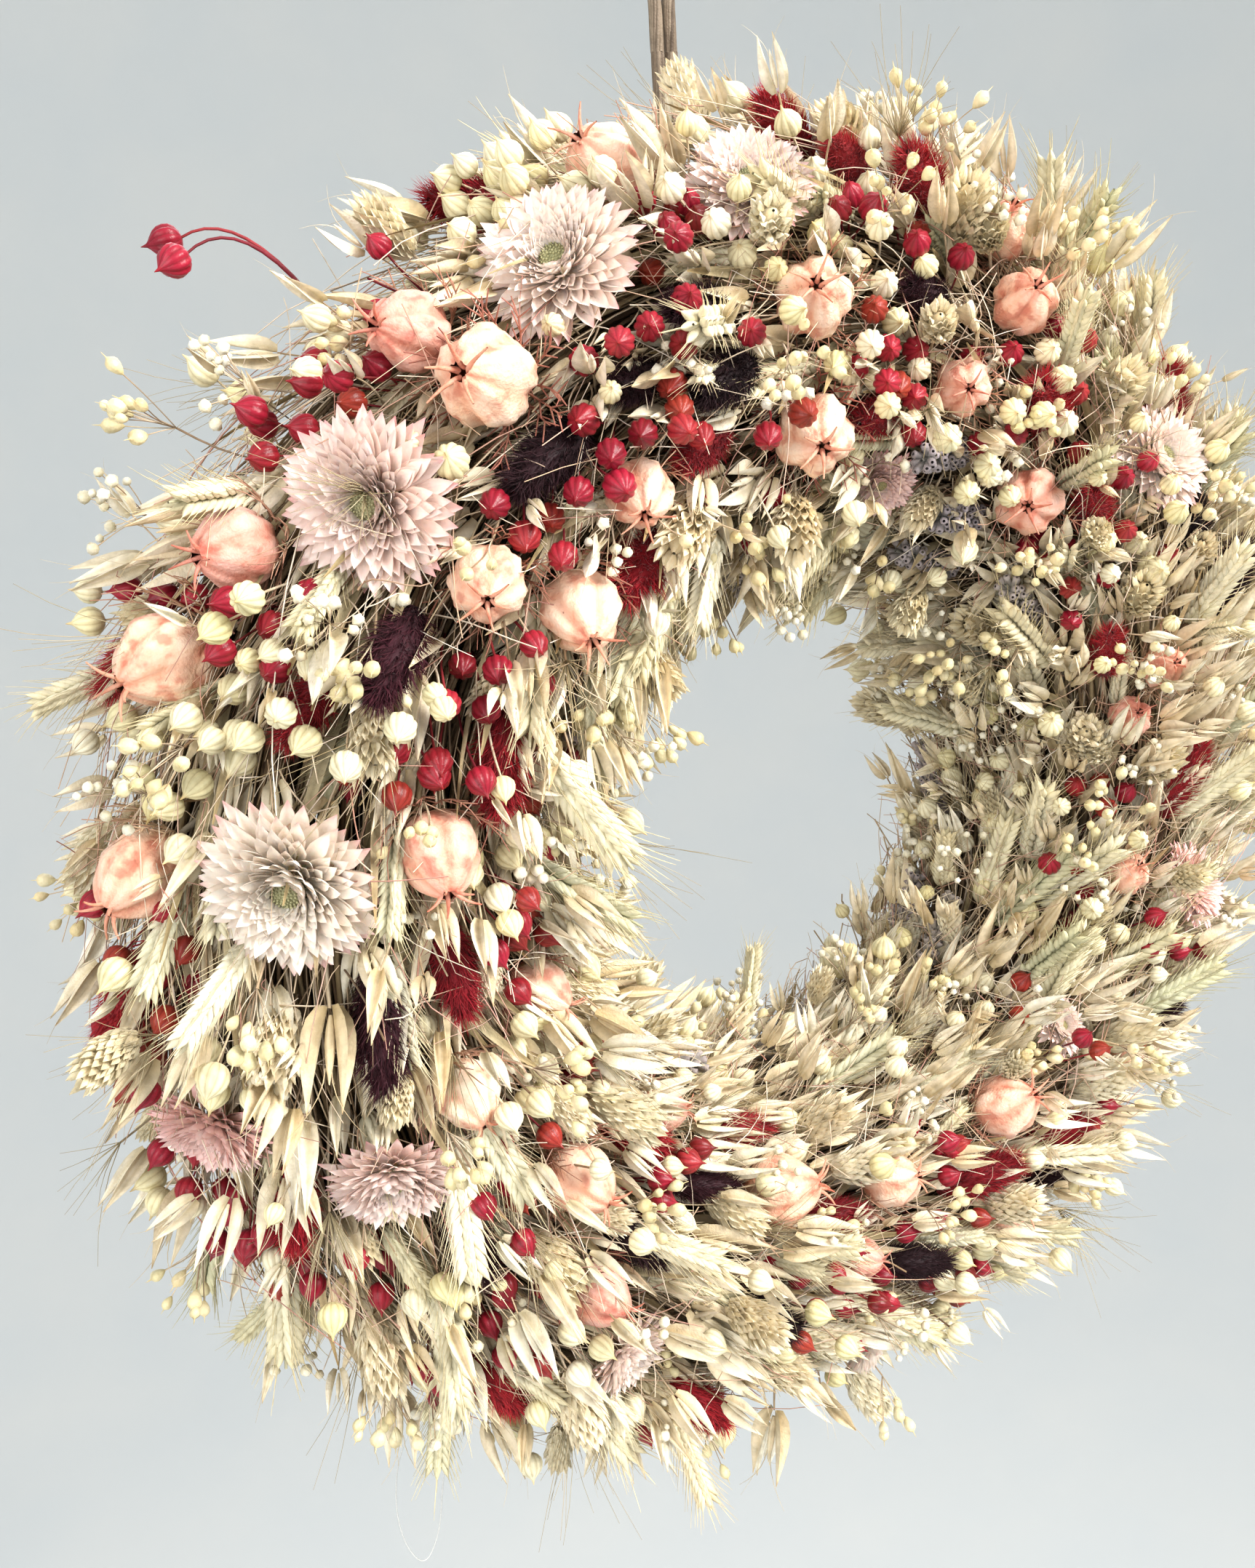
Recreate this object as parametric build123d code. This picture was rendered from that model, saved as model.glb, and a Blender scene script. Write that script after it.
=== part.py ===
from build123d import *
import math
import os

# A dried harvest wreath on a straw ring, hung by a looped bast cord.
# Millimetres. +X right, +Y into the door, +Z up. The origin is the underside of the
# cord at the top of its loop, where the hook carries it.
# Places on the wreath: "clock" is degrees clockwise from the top, seen from the front,
# and "across" is degrees round the bundle: 0 outer rim, 90 front, 180 hole side.

# Driving dimensions
cord_diameter = 4.0
hook_diameter = 6.0
hang_drop = 114.0  # hook seat to the middle of the straw ring at its top
ring_radius = 131.0
straw_radius = 14.0
wrap_thread = 0.8  # thread that binds the straw
wire_diameter = 0.7  # winding wire that binds the bunches
bundle_half_width = 44.0  # bunch section, across the ring
bundle_half_depth = 42.0
bundle_middle_y = -30.0
door_gap = 1.0  # cord to door
bunch_count = 16
bunch_gap = 1.6  # room for the winding wire
clearance = 0.3
knot_wall = 0.6
stem_depth = 6.0  # how far the heads' stems run into the bunches
strand_gap = 0.3
eye_wrap = 140.0  # degrees of cord that stay on the hook
sway_gap = 1.2
tilt_height = -36.0  # where the cord bends when the wreath is lifted off the door
tilt_gap = 2.6
strawflower_radius = 19.0
nigella_radius = 10.5
tail_length = 27.0
tail_radius = 6.0
flax_radius = 4.0
ear_length = 44.0
ear_radius = 5.0
canary_length = 24.0
canary_radius = 6.5
oat_length = 24.0
oat_radius = 5.0
lavender_length = 34.0
lavender_radius = 4.2
thread_diameter = 0.4
head_gap = 0.5  # least room between two heads
blunt_share = 0.2  # how blunt the ends of ears and tails are
horn_share = 0.8  # a nigella horn's length, as a share of the pod's radius
button_share = 0.42  # a strawflower's centre, as a share of its radius
hitch_turn = 320.0  # degrees that each strand goes round the straw ring
drawn_radius = 175.0  # outer radius at which the swinging sprays and the thread are set out
cutter = 200.0  # long enough to cut right through the bundle

# What follows from them
cord_radius = cord_diameter / 2
door_y = cord_radius + door_gap
ring_y = -(straw_radius + cord_radius + clearance)
ring_z = -(hang_drop + ring_radius)
ring_middle = Vector(0, ring_y, ring_z)
loop_radius = hook_diameter / 2 + cord_radius
loop_z = -hook_diameter / 2
strand_x = (cord_diameter + strand_gap) / 2
hollow_radius = straw_radius + wrap_thread + clearance
knot_inner = 2 * strand_x + cord_diameter + 2 * clearance
knot_outer = knot_inner + 2 * knot_wall
slot_width = knot_outer + 2 * clearance

# Ways to make room for a head, the smallest first: (clock, across, rise)
near_moves = [(c, a, rise) for rise in (0, 3, 6, 9) for c in (0, 2, -2) for a in (0, 6, -6)]
all_moves = sorted(
    ((c, a, rise) for c in range(-12, 13, 2) for a in range(-18, 19, 3) for rise in range(0, 25, 3)),
    key=lambda move: 2 * abs(move[0]) + abs(move[1]) + move[2],
)
# How far each kind of head leans along the wreath, in degrees
strawflower_lean = 22
nigella_lean = 35
tail_lean = 62
flax_lean = 35
placed = []  # every head so far, as spheres, so that the next one keeps clear


def outward(clock):
    a = math.radians(clock)
    return Vector(math.sin(a), 0, math.cos(a))


def along(clock):
    """The way the heads point: counter-clockwise."""
    a = math.radians(clock)
    return Vector(-math.cos(a), 0, math.sin(a))


def bundle_point(clock, across):
    f = math.radians(across)
    reach = ring_radius + bundle_half_width * math.cos(f)
    at = outward(clock) * reach
    return Vector(at.X, bundle_middle_y - bundle_half_depth * math.sin(f), at.Z + ring_z)


def bundle_normal(clock, across):
    f = math.radians(across)
    n = outward(clock) * (math.cos(f) / bundle_half_width)
    return (n + Vector(0, -math.sin(f) / bundle_half_depth, 0)).normalized()


def spheres_of(base, way, stem, stem_radius, length, radius):
    """A head and its stem as spheres: (centre, radius)."""
    pitch = 2.0
    spare = max(length - 2 * radius, 0)
    steps = math.ceil(spare / radius)
    reaches = [(pitch * k, stem_radius) for k in range(int(stem / pitch) + 1)]
    reaches += [(stem + (length - spare) / 2 + spare * k / max(steps, 1), radius) for k in range(steps + 1)]
    return [(tuple(base + way * reach), r) for reach, r in reaches]


def room_of(spheres):
    middle = spheres[-1][0]
    return middle, max(math.dist(c, middle) + r for c, r in spheres)


def is_clear(spheres):
    middle, size = room_of(spheres)
    for other_middle, other_size, others in placed:
        if math.dist(other_middle, middle) > size + other_size + head_gap:
            continue
        if any(math.dist(c, c2) < r + r2 + head_gap for c, r in spheres for c2, r2 in others):
            return False
    return True


def remember(spheres):
    spheres = [(tuple(c), r) for c, r in spheres]
    placed.append((*room_of(spheres), spheres))


def settle(clock, across, lean, stem, stem_radius, length, radius, tries):
    """Stands a head in the bundle, a little further out or along if another is there."""
    tip = math.radians(lean)
    for d_clock, d_across, rise in tries:
        c = clock + d_clock
        n = bundle_normal(c, across + d_across)
        way = (n * math.cos(tip) + along(c) * math.sin(tip)).normalized()
        base = bundle_point(c, across + d_across) - way * stem_depth
        whole = stem + rise + stem_depth
        spheres = spheres_of(base, way, whole, stem_radius, length, radius)
        if is_clear(spheres):
            remember(spheres)
            return Plane(origin=base, z_dir=way), whole
    return None


def spindle(length, radius):
    """An ear or tail along +Z, from the origin, with small blunt ends."""
    end = radius * blunt_share
    with BuildPart() as made:
        with BuildSketch(Plane.XZ):
            with BuildLine():
                Line((0, 0), (end, 0))
                ThreePointArc((end, 0), (radius, length / 2), (end, length))
                Line((end, length), (0, length))
                Line((0, length), (0, 0))
            make_face()
        revolve(axis=Axis.Z)
    return made.part


def flax_pod(radius):
    """A round seed pod with a short point."""
    with BuildPart() as made:
        with BuildSketch(Plane.XZ):
            with BuildLine():
                ThreePointArc((0, 0), (radius, radius), (radius * 0.35, radius * 1.9))
                Line((radius * 0.35, radius * 1.9), (0, radius * 2.4))
                Line((0, radius * 2.4), (0, 0))
            make_face()
        revolve(axis=Axis.Z)
    return made.part


def nigella_pod(radius):
    """A balloon pod with five horns round its top."""
    made = Pos(0, 0, radius) * Sphere(radius)
    for k in range(5):
        horn = Cone(radius * 0.13, radius * 0.04, radius * horn_share)
        made += Rot(0, 0, 72 * k) * Pos(radius * 0.3, 0, radius * 2.1) * Rot(0, 38, 0) * horn
    return made


def strawflower_petals(radius):
    """The open ring of petals: a shallow bowl with a seat for the centre."""
    with BuildPart() as made:
        with BuildSketch(Plane.XZ):
            with BuildLine():
                Line((0, 0), (radius * 0.25, 0))
                ThreePointArc((radius * 0.25, 0), (radius * 0.75, radius * 0.14), (radius, radius * 0.42))
                Line((radius, radius * 0.42), (radius * 0.92, radius * 0.5))
                ThreePointArc(
                    (radius * 0.92, radius * 0.5), (radius * 0.68, radius * 0.4), (radius * button_share, radius * 0.36)
                )
                Line((radius * button_share, radius * 0.36), (radius * button_share, radius * 0.22))
                Line((radius * button_share, radius * 0.22), (0, radius * 0.22))
                Line((0, radius * 0.22), (0, 0))
            make_face()
        revolve(axis=Axis.Z)
    return made.part


def strawflower_centre(radius):
    """The button, standing in its seat."""
    seat = radius * button_share - clearance
    height = radius * 0.22
    return Pos(0, 0, radius * 0.22 + height / 2) * Cone(seat, seat * 0.6, height)


def with_stem(head, stem, stem_radius):
    sunk = stem_radius * 0.5  # the stem runs a little into the head
    stalk = Pos(0, 0, (stem + sunk) / 2) * Cylinder(stem_radius, stem + sunk)
    return stalk + Pos(0, 0, stem) * head


def save(name, shapes):
    shapes = shapes if isinstance(shapes, list) else [shapes]
    solids = [s for shape in shapes for s in shape.solids()]
    whole = Compound(children=solids) if len(solids) > 1 else solids[0]
    export_step(whole, f"parts/{name}.step")
    print(name, len(solids), "solids")


# The hanger
def hanger_eye():
    """The stretch of cord that lies over the hook."""
    path = CenterArc((0, 0, 0), loop_radius, 90 - eye_wrap / 2, eye_wrap)
    section = Plane(origin=path @ 0, z_dir=path % 0) * Circle(cord_radius)
    return Plane(origin=(0, 0, loop_z), x_dir=(1, 0, 0), z_dir=(0, -1, 0)) * sweep(section, path)


def hanger_leg(side):
    """One strand from the hook's side down to the bend above the foliage."""
    start_angle = eye_wrap / 2 + math.degrees(sway_gap / loop_radius)
    top = Vector(
        side * loop_radius * math.sin(math.radians(start_angle)),
        0,
        loop_z + loop_radius * math.cos(math.radians(start_angle)),
    )
    knee = Vector(side * (loop_radius + 0.2), 0, loop_z - 3)
    neck = Vector(side * strand_x, 0, tilt_height + 12)
    foot = Vector(side * strand_x, 0, tilt_height + tilt_gap / 2)
    path = FilletPolyline(top, knee, neck, foot, radius=[5 * cord_radius, 8 * cord_radius])
    section = Plane(origin=top, z_dir=path % 0) * Circle(cord_radius)
    return sweep(section, path)


def hanger_tail(side):
    """One strand from the bend down behind the foliage and once round the straw ring."""
    top_z = tilt_height - tilt_gap / 2
    turn = straw_radius + cord_radius + clearance
    drop = Line((0, top_z), (0, -hang_drop))
    wrap = CenterArc((-turn, -hang_drop), turn, 0, -hitch_turn)
    path = Plane(origin=(side * strand_x, 0, 0), x_dir=(0, 1, 0), z_dir=(1, 0, 0)) * Wire([drop, wrap])
    section = Plane(origin=(side * strand_x, 0, top_z), z_dir=(0, 0, -1)) * Circle(cord_radius)
    return sweep(section, path)


def hanger_knot():
    """Cord bound round both strands just above the ring."""
    middle = -hang_drop + straw_radius + 3 * cord_diameter
    inner = SlotOverall(knot_inner, cord_diameter + 2 * clearance)
    outer = SlotOverall(knot_outer, cord_diameter + 2 * (clearance + knot_wall))
    return Pos(0, 0, middle) * extrude(outer - inner, amount=cord_diameter, both=True)


# The ring
def turned(clock, shape):
    """Moves a shape made at the top of the ring to its clock place."""
    return Pos(*ring_middle) * Rot(0, clock, 0) * shape


def straw_ring():
    ring = Plane.XZ * Torus(ring_radius, straw_radius)
    return Pos(*ring_middle) * ring


def hoop(clock, hoop_radius, thickness):
    """A closed turn round the straw, seen along the ring."""
    turn = Plane.YZ * Torus(hoop_radius, thickness / 2)
    return turned(clock, Pos(0, 0, ring_radius) * turn)


def bundle_section():
    """The bunches' section, flat where it meets the door, with the ring's space left out."""
    shape = Pos(ring_radius, bundle_middle_y) * Ellipse(bundle_half_width, bundle_half_depth)
    behind = Pos(ring_radius, door_y + cutter / 2) * Rectangle(4 * bundle_half_width, cutter)
    return shape - behind - Pos(ring_radius, ring_y) * Circle(hollow_radius)


def bunch(number):
    """One bunch, from one winding to the next."""
    step = 360 / bunch_count
    gap = math.degrees(bunch_gap / ring_radius)
    sector = revolve(bundle_section(), axis=Axis.Y, revolution_arc=step - gap)
    solid = Pos(0, 0, ring_z) * Rot(0, number * step + gap / 2 - 90, 0) * sector
    slot = Box(slot_width, cutter, 3 * bundle_half_width)
    if number in (0, bunch_count - 1):
        solid -= Pos(0, 0, -hang_drop) * slot
    return solid


# The heads: (clock, across, size share)
strawflowers = [
    (336, 43, 1.0), (354, 42, 0.8), (313, 50, 1.0), (284, 60, 1.05), (256, 71, 0.82), (50, 78, 0.85),
    (218, 72, 0.72), (182, 58, 0.6), (9, 127, 0.5), (137, 113, 0.5), (110, 80, 0.75), (263, 30, 0.78),
]
nigella = [
    (326, 33, 0.95), (327, 56, 1.15), (331, 95, 0.85), (347, 20, 1.0), (314, 75, 0.92), (318, 103, 1.0),
    (309, 30, 0.95), (303, 18, 1.1), (290, 77, 1.0), (284, 20, 1.05), (356, 77, 1.0), (355, 108, 1.05),
    (22, 50, 0.8), (17, 98, 0.8), (23, 68, 0.9), (38, 116, 1.0), (84, 117, 0.7), (77, 104, 0.75),
    (111, 112, 0.75), (156, 112, 1.05), (180, 118, 0.9), (162, 82, 0.8), (204, 124, 1.1), (243, 110, 0.95),
    (263, 92, 0.85), (268, 127, 0.8), (227, 145, 0.7), (227, 87, 0.85), (186, 97, 0.65), (135, 76, 0.65),
]
red_tails = [
    (326, 5), (327, 103), (345, 100), (306, 106), (301, 3), (302, 58), (277, 10), (281, 100), (260, 46),
    (243, 143), (213, 142), (232, 45), (209, 52), (193, 115), (166, 107), (154, 82), (130, 122),
    (102, 98), (77, 122), (52, 107), (36, 100), (8, 108), (55, 55), (16, 42), (10, 34), (343, -5),
    (7, 15), (183, 45),
]
dark_tails = [
    (349, 70), (331, 64), (334, 78), (312, 64), (344, 90), (15, 77), (277, 80), (260, 80), (233, 95),
    (210, 90), (222, 125), (63, 78), (78, 58), (132, 65), (155, 72), (183, 88),
]
red_flax = [  # (clock, across, pods)
    (323, 12, 7), (322, 78, 8), (304, 95, 8), (323, 45, 3), (316, 25, 2), (303, 42, 3), (300, 10, 4),
    (297, 68, 2), (296, 112, 4), (346, 38, 5), (344, 62, 4), (339, 85, 9), (9, 84, 7), (32, 93, 3),
    (47, 108, 7), (59, 113, 2), (350, 122, 2), (4, 50, 2), (62, 92, 1), (75, 115, 2), (10, 66, 1),
    (25, 80, 1), (276, 22, 6), (278, 118, 6), (259, 28, 6), (253, 25, 5), (250, 52, 1), (245, 50, 1),
    (254, 98, 3), (247, 100, 3), (252, 132, 2), (236, 65, 4), (231, 52, 3), (233, 30, 3), (228, 128, 3),
    (198, 98, 7), (189, 88, 5), (179, 93, 2), (169, 103, 5), (172, 60, 5), (118, 120, 3), (106, 115, 2),
    (142, 122, 3), (97, 135, 1), (120, 75, 3), (208, 35, 2), (147, 70, 2), (172, 122, 1), (271, 14, 3),
]
cream_flax = [
    (320, 63, 5), (317, 80, 6), (298, 85, 7), (305, 75, 2), (298, 38, 4), (298, 8, 4), (291, 35, 3),
    (320, 42, 4), (323, 0, 5), (340, 28, 5), (341, 0, 6), (342, 42, 4), (302, 50, 3), (348, 50, 5),
    (7, 80, 3), (25, 95, 3), (45, 50, 6), (30, 110, 2), (2, 40, 5), (2, 100, 4), (55, 100, 3),
    (291, 108, 3), (271, 30, 3), (267, 18, 5), (273, -5, 2), (264, 112, 5), (246, 62, 2), (245, 10, 2),
    (228, 58, 4), (250, 75, 2), (208, 150, 4), (93, 160, 2), (103, 166, 2), (115, 170, 2), (123, 172, 2),
    (146, 138, 2), (121, 103, 3), (160, 100, 3), (173, 70, 5), (225, 120, 4), (85, 150, 2), (70, 160, 1),
]

# Grasses: how many, across angles, where they start, lean in degrees, stem, length, radius
fillings = {
    "wheat_ears": (26, (5, 170), 0.1, 55, 6, ear_length, ear_radius),
    "canary_grass_heads": (22, (30, 150), 0.35, 40, 6, canary_length, canary_radius),
    "oat_spikelets": (64, (-25, 190), 0.6, 48, 9, oat_length, oat_radius),
    "lavender_spikes": (16, (120, 185), 0.8, 60, 6, lavender_length, lavender_radius),
}
tries_each = 12
clock_stride, across_stride = 0.56984, 0.75488  # steps that spread points evenly both ways

strawflower_stem = 1.2
nigella_stem = 0.9
tail_stem = 0.8
flax_stem = 0.5
grass_stem = 0.6


def keep_room():
    """The hanger's cords and the two swinging sprays keep their room clear of heads."""
    remember([(Vector(0, 0, z), 7.0) for z in range(-110, -30, 8)])
    room = 12.0
    remember([(set_out(x, -57, z), room) for x in (-28, -14, -2) for z in range(-225, -173, 10)])
    remember([(oat_pivot, 5.0)])
    swing = pod_elbow - pod_pivot
    remember([(pod_pivot + swing * share, 4 + 8 * share) for share in (0, 0.25, 0.5, 0.75, 1)])
    remember([(tip, 14.0) for tip in pod_tips])
    remember([(point, 4.0) for point in thread_route])


def strawflower_set():
    petals = []
    centres = []
    for clock, across, share in strawflowers:
        radius = strawflower_radius * share
        place, stem = settle(
            clock, across, strawflower_lean, 9, strawflower_stem, radius * 0.5, radius * 0.98, all_moves
        )
        petals.append(place * with_stem(strawflower_petals(radius), stem, strawflower_stem))
        centres.append(place * Pos(0, 0, stem) * strawflower_centre(radius))
    return petals, centres


def nigella_set():
    pods = []
    for clock, across, share in nigella:
        radius = nigella_radius * share
        place, stem = settle(
            clock, across, nigella_lean, 5, nigella_stem, radius * 2.9, radius * 1.02, all_moves
        )
        pods.append(place * with_stem(nigella_pod(radius), stem, nigella_stem))
    return pods


def tail_set(places):
    made = []
    for number, (clock, across) in enumerate(places):
        length = tail_length * (1 + 0.16 * math.sin(2.3 * number))
        place, stem = settle(clock, across, tail_lean, 7, tail_stem, length, tail_radius, all_moves)
        made.append(place * with_stem(spindle(length, tail_radius), stem, tail_stem))
    return made


def flax_set(clusters):
    """Each cluster is a spiral of pods on stems of their own."""
    made = []
    spacing = 2 * flax_radius + head_gap
    for clock, across, pods in clusters:
        for k in range(pods):
            turn = math.radians(137.5 * k)
            out = spacing * 0.75 * math.sqrt(k)
            c = clock + math.degrees(out * math.cos(turn) / ring_radius)
            a = across + math.degrees(out * math.sin(turn) / bundle_half_width)
            stem = 10 + 3 * (k % 3)
            found = settle(c, a, flax_lean, stem, flax_stem, flax_radius * 2.4, flax_radius, near_moves)
            if found:
                made.append(found[0] * with_stem(flax_pod(flax_radius), found[1], flax_stem))
    return made


def filled(count, span, start, lean, stem, length, radius):
    """Spreads more heads between two across angles, wherever there is room."""
    made = []
    head = spindle(length, radius)
    k = 0
    while len(made) < count and k < tries_each * count:
        clock = 360 * ((clock_stride * k + start) % 1)
        across = span[0] + (span[1] - span[0]) * ((across_stride * k + start) % 1)
        found = settle(clock, across, lean, stem, grass_stem, length, radius, near_moves)
        if found:
            made.append(found[0] * with_stem(head, found[1], grass_stem))
        k += 1
    return made


# The two sprays that swing, and the thread
def spindle_on(base, tip, stem_radius, length, radius):
    """A husk or pod at the end of a straight stem."""
    way = tip - base
    place = Plane(origin=base, z_dir=way)
    return place * with_stem(spindle(length, radius), way.length, stem_radius)


def set_out(x, y, z):
    """A point beside the wreath, from the ring's middle, that keeps its place as the wreath grows."""
    share = (ring_radius + bundle_half_width) / drawn_radius
    return Vector(x * share, y, ring_z + z * share)


oat_pivot = set_out(-20, -57, -168)
oat_tips = [set_out(-26, -60, -186), set_out(-6, -58, -191), set_out(-22, -52, -199)]
pod_pivot = set_out(-111, -30, 142)
pod_elbow = set_out(-131, -30, 167)
pod_tips = [set_out(-143, -26, 165), set_out(-145, -35, 161)]
thread_places = [
    (-112, -30, -137), (-126, -31, -148), (-138, -31, -161), (-142, -32, -179), (-141, -33, -194),
    (-136, -33, -205), (-130, -33, -195), (-127, -32, -180), (-123, -31, -166), (-113, -30, -153),
    (-103, -30, -142),
]
thread_route = [set_out(*place) for place in thread_places]


def oat_spray():
    """A drooping stem with its hanging husks, one solid."""
    pivot_bead = 1.2
    made = Pos(*oat_pivot) * Rot(90, 0, 0) * Cylinder(pivot_bead, 3)
    for tip in oat_tips:
        made += spindle_on(oat_pivot, tip, grass_stem, oat_length, oat_radius)
    return made


def pod_pair():
    """Two red pods that nod on one forked stem, one solid."""
    pivot_bead = 1.0
    fork_bead = 1.5
    arm = pod_elbow - pod_pivot
    made = Pos(*pod_pivot) * Rot(90, 0, 0) * Cylinder(pivot_bead, 3)
    made += Plane(origin=pod_pivot, z_dir=arm) * Pos(0, 0, arm.length / 2) * Cylinder(grass_stem, arm.length)
    made += Pos(*pod_elbow) * Rot(90, 0, 0) * Cylinder(fork_bead, 3)
    for tip in pod_tips:
        way = tip - pod_elbow
        made += Plane(origin=pod_elbow, z_dir=way) * with_stem(flax_pod(flax_radius), way.length, flax_stem)
    return made


def tube(points, diameter):
    """A cord of straight runs and the largest tangent arcs that fit."""
    radii = []
    for a, b, c in zip(points, points[1:], points[2:]):
        turn = math.radians((b - a).get_angle(c - b))
        run = min((b - a).length, (c - b).length)
        radii.append(0.45 * run / math.tan(turn / 2))
    path = FilletPolyline(*points, radius=radii)
    section = Plane(origin=points[0], z_dir=points[1] - points[0]) * Circle(diameter / 2)
    made = sweep(section, path)
    print("thread radii", [round(r, 1) for r in radii], "length", round(path.length, 1))
    print("volume over section x length", round(made.volume / (math.pi * diameter**2 / 4 * path.length), 4))
    return made


def main():
    os.makedirs("parts", exist_ok=True)
    save("hanger_eye", hanger_eye())
    save("hanger_legs", [hanger_leg(-1), hanger_leg(1)])
    save("hanger_tails", [hanger_tail(-1), hanger_tail(1)])
    save("hanger_knot", hanger_knot())
    save("straw_ring", straw_ring())
    step = 360 / bunch_count
    thread_hoop = straw_radius + wrap_thread / 2
    save("straw_binding", [hoop(step * (k + 0.5), thread_hoop, wrap_thread) for k in range(bunch_count)])
    wire_hoop = straw_radius + wire_diameter / 2
    save("winding_wire", [hoop(step * k, wire_hoop, wire_diameter) for k in range(1, bunch_count)])
    for number in range(bunch_count):
        save(f"bunch_{number + 1:02d}", bunch(number))
    save("thread_loop", tube(thread_route, thread_diameter))
    save("oat_spray", oat_spray())
    save("pod_pair", pod_pair())
    keep_room()
    petals, centres = strawflower_set()
    save("strawflower_petals", petals)
    save("strawflower_centres", centres)
    save("nigella_pods", nigella_set())
    save("red_bunny_tails", tail_set(red_tails))
    save("dark_bunny_tails", tail_set(dark_tails))
    save("red_flax_pods", flax_set(red_flax))
    save("cream_flax_pods", flax_set(cream_flax))
    for name, (count, span, start, lean, stem, length, radius) in fillings.items():
        save(name, filled(count, span, start, lean, stem, length, radius))


main()
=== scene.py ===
import math

import bpy
import numpy as np
from mathutils import Matrix, Vector


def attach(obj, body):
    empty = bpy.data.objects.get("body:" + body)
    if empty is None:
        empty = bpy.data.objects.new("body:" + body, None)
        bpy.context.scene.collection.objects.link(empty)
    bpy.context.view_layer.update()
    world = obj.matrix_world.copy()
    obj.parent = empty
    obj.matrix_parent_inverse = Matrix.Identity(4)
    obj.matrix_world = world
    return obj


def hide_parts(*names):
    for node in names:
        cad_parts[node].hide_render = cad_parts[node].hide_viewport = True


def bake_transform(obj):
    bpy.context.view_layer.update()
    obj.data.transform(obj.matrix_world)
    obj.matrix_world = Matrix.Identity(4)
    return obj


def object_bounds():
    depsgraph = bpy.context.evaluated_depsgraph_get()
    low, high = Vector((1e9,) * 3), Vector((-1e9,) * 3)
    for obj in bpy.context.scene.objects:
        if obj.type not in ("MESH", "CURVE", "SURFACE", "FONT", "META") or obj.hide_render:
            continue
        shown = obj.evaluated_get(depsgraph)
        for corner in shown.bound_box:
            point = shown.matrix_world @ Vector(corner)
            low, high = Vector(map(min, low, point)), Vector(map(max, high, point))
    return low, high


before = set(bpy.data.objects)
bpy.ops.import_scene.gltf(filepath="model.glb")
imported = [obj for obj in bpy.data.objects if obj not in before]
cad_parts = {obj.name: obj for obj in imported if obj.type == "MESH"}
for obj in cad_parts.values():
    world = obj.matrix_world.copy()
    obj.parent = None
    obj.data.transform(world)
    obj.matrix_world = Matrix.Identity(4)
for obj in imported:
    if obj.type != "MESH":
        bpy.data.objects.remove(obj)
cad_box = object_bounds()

# A dried harvest wreath on a straw ring. Metres. +X right, +Y into the door, +Z up.
# "clock" is degrees clockwise from the top, seen from the front; "across" is degrees
# round the bundle: 0 outer rim, 90 front, 180 hole side; "share" is the part of the
# bundle's half width at which something lies: 1 is the bunches' own surface.
MM = 0.001
RING = 0.131  # radius of the middle of the bundle
HALF_WIDTH, HALF_DEPTH = 0.044, 0.042
MIDDLE_Y, MIDDLE_Z = -0.030, -0.245
STRAW_Y, STRAW = -0.0163, 0.014  # the straw ring inside: its middle and its thickness's half
DOOR_Y = 0.0026  # nothing stands further back
TINTS = 32  # slots along a map's u, one for each item's own tint
TAU = 2 * math.pi
GOLDEN = math.radians(137.508)
CLOCK_STRIDE, ACROSS_STRIDE = 0.5698403, 0.7548777  # steps that spread points evenly both ways
SPREAD = 0.009  # how far a tip may stand outside the CAD box
BUNCHES = 16
STRAW_STALKS, MAT_STALKS, LOOSE_STEMS, FINE_STEMS, BLADES = 620, 430, 3600, 3600, 520  # mats: in each bunch


# ---------------------------------------------------------------- camera and light
def look_from(place, target, up):
    forward = (Vector(target) - Vector(place)).normalized()
    right = forward.cross(Vector(up)).normalized()
    true_up = right.cross(forward)
    turn = Matrix((right, true_up, -forward)).transposed().to_4x4()
    return Matrix.Translation(place) @ turn


camera_data = bpy.data.cameras.new("camera")
camera_data.sensor_fit = "VERTICAL"
camera_data.angle = math.radians(59.6)
camera_data.clip_start = 0.01
camera = bpy.data.objects.new("camera", camera_data)
bpy.context.scene.collection.objects.link(camera)
camera.matrix_world = look_from((-0.2259, -0.3431, -0.1033), (-0.0481, -0.035, -0.2233), (0.0814, 0, 0.9967))
bpy.context.scene.camera = camera


def area_light(name, place, target, size, power, colour):
    data = bpy.data.lights.new(name, "AREA")
    data.size = size
    data.energy = power
    data.color = colour
    lamp = bpy.data.objects.new(name, data)
    lamp.matrix_world = look_from(place, target, (0, 0.1, 1))
    bpy.context.scene.collection.objects.link(lamp)


area_light("key", (0.75, -1.2, 0.75), (0, 0, -0.25), 0.8, 64, (1.0, 0.975, 0.94))
area_light("fill", (-1.4, -0.9, 0.1), (0, 0, -0.25), 1.4, 25, (1.0, 0.985, 0.965))
area_light("back", (0.4, 1.2, 0.7), (0, 0, -0.25), 1.2, 12, (1, 1, 1))
world = bpy.data.worlds.new("world")
world.use_nodes = True
world.node_tree.nodes["Background"].inputs["Color"].default_value = (0.83, 0.84, 0.85, 1)
world.node_tree.nodes["Background"].inputs["Strength"].default_value = 1.0
bpy.context.scene.world = world
bpy.context.scene.view_settings.view_transform = "Standard"


# ---------------------------------------------------------------- materials
def nodes_of(name):
    made = bpy.data.materials.new(name)
    made.use_nodes = True
    tree = made.node_tree
    return made, tree, tree.nodes["Principled BSDF"]


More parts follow.
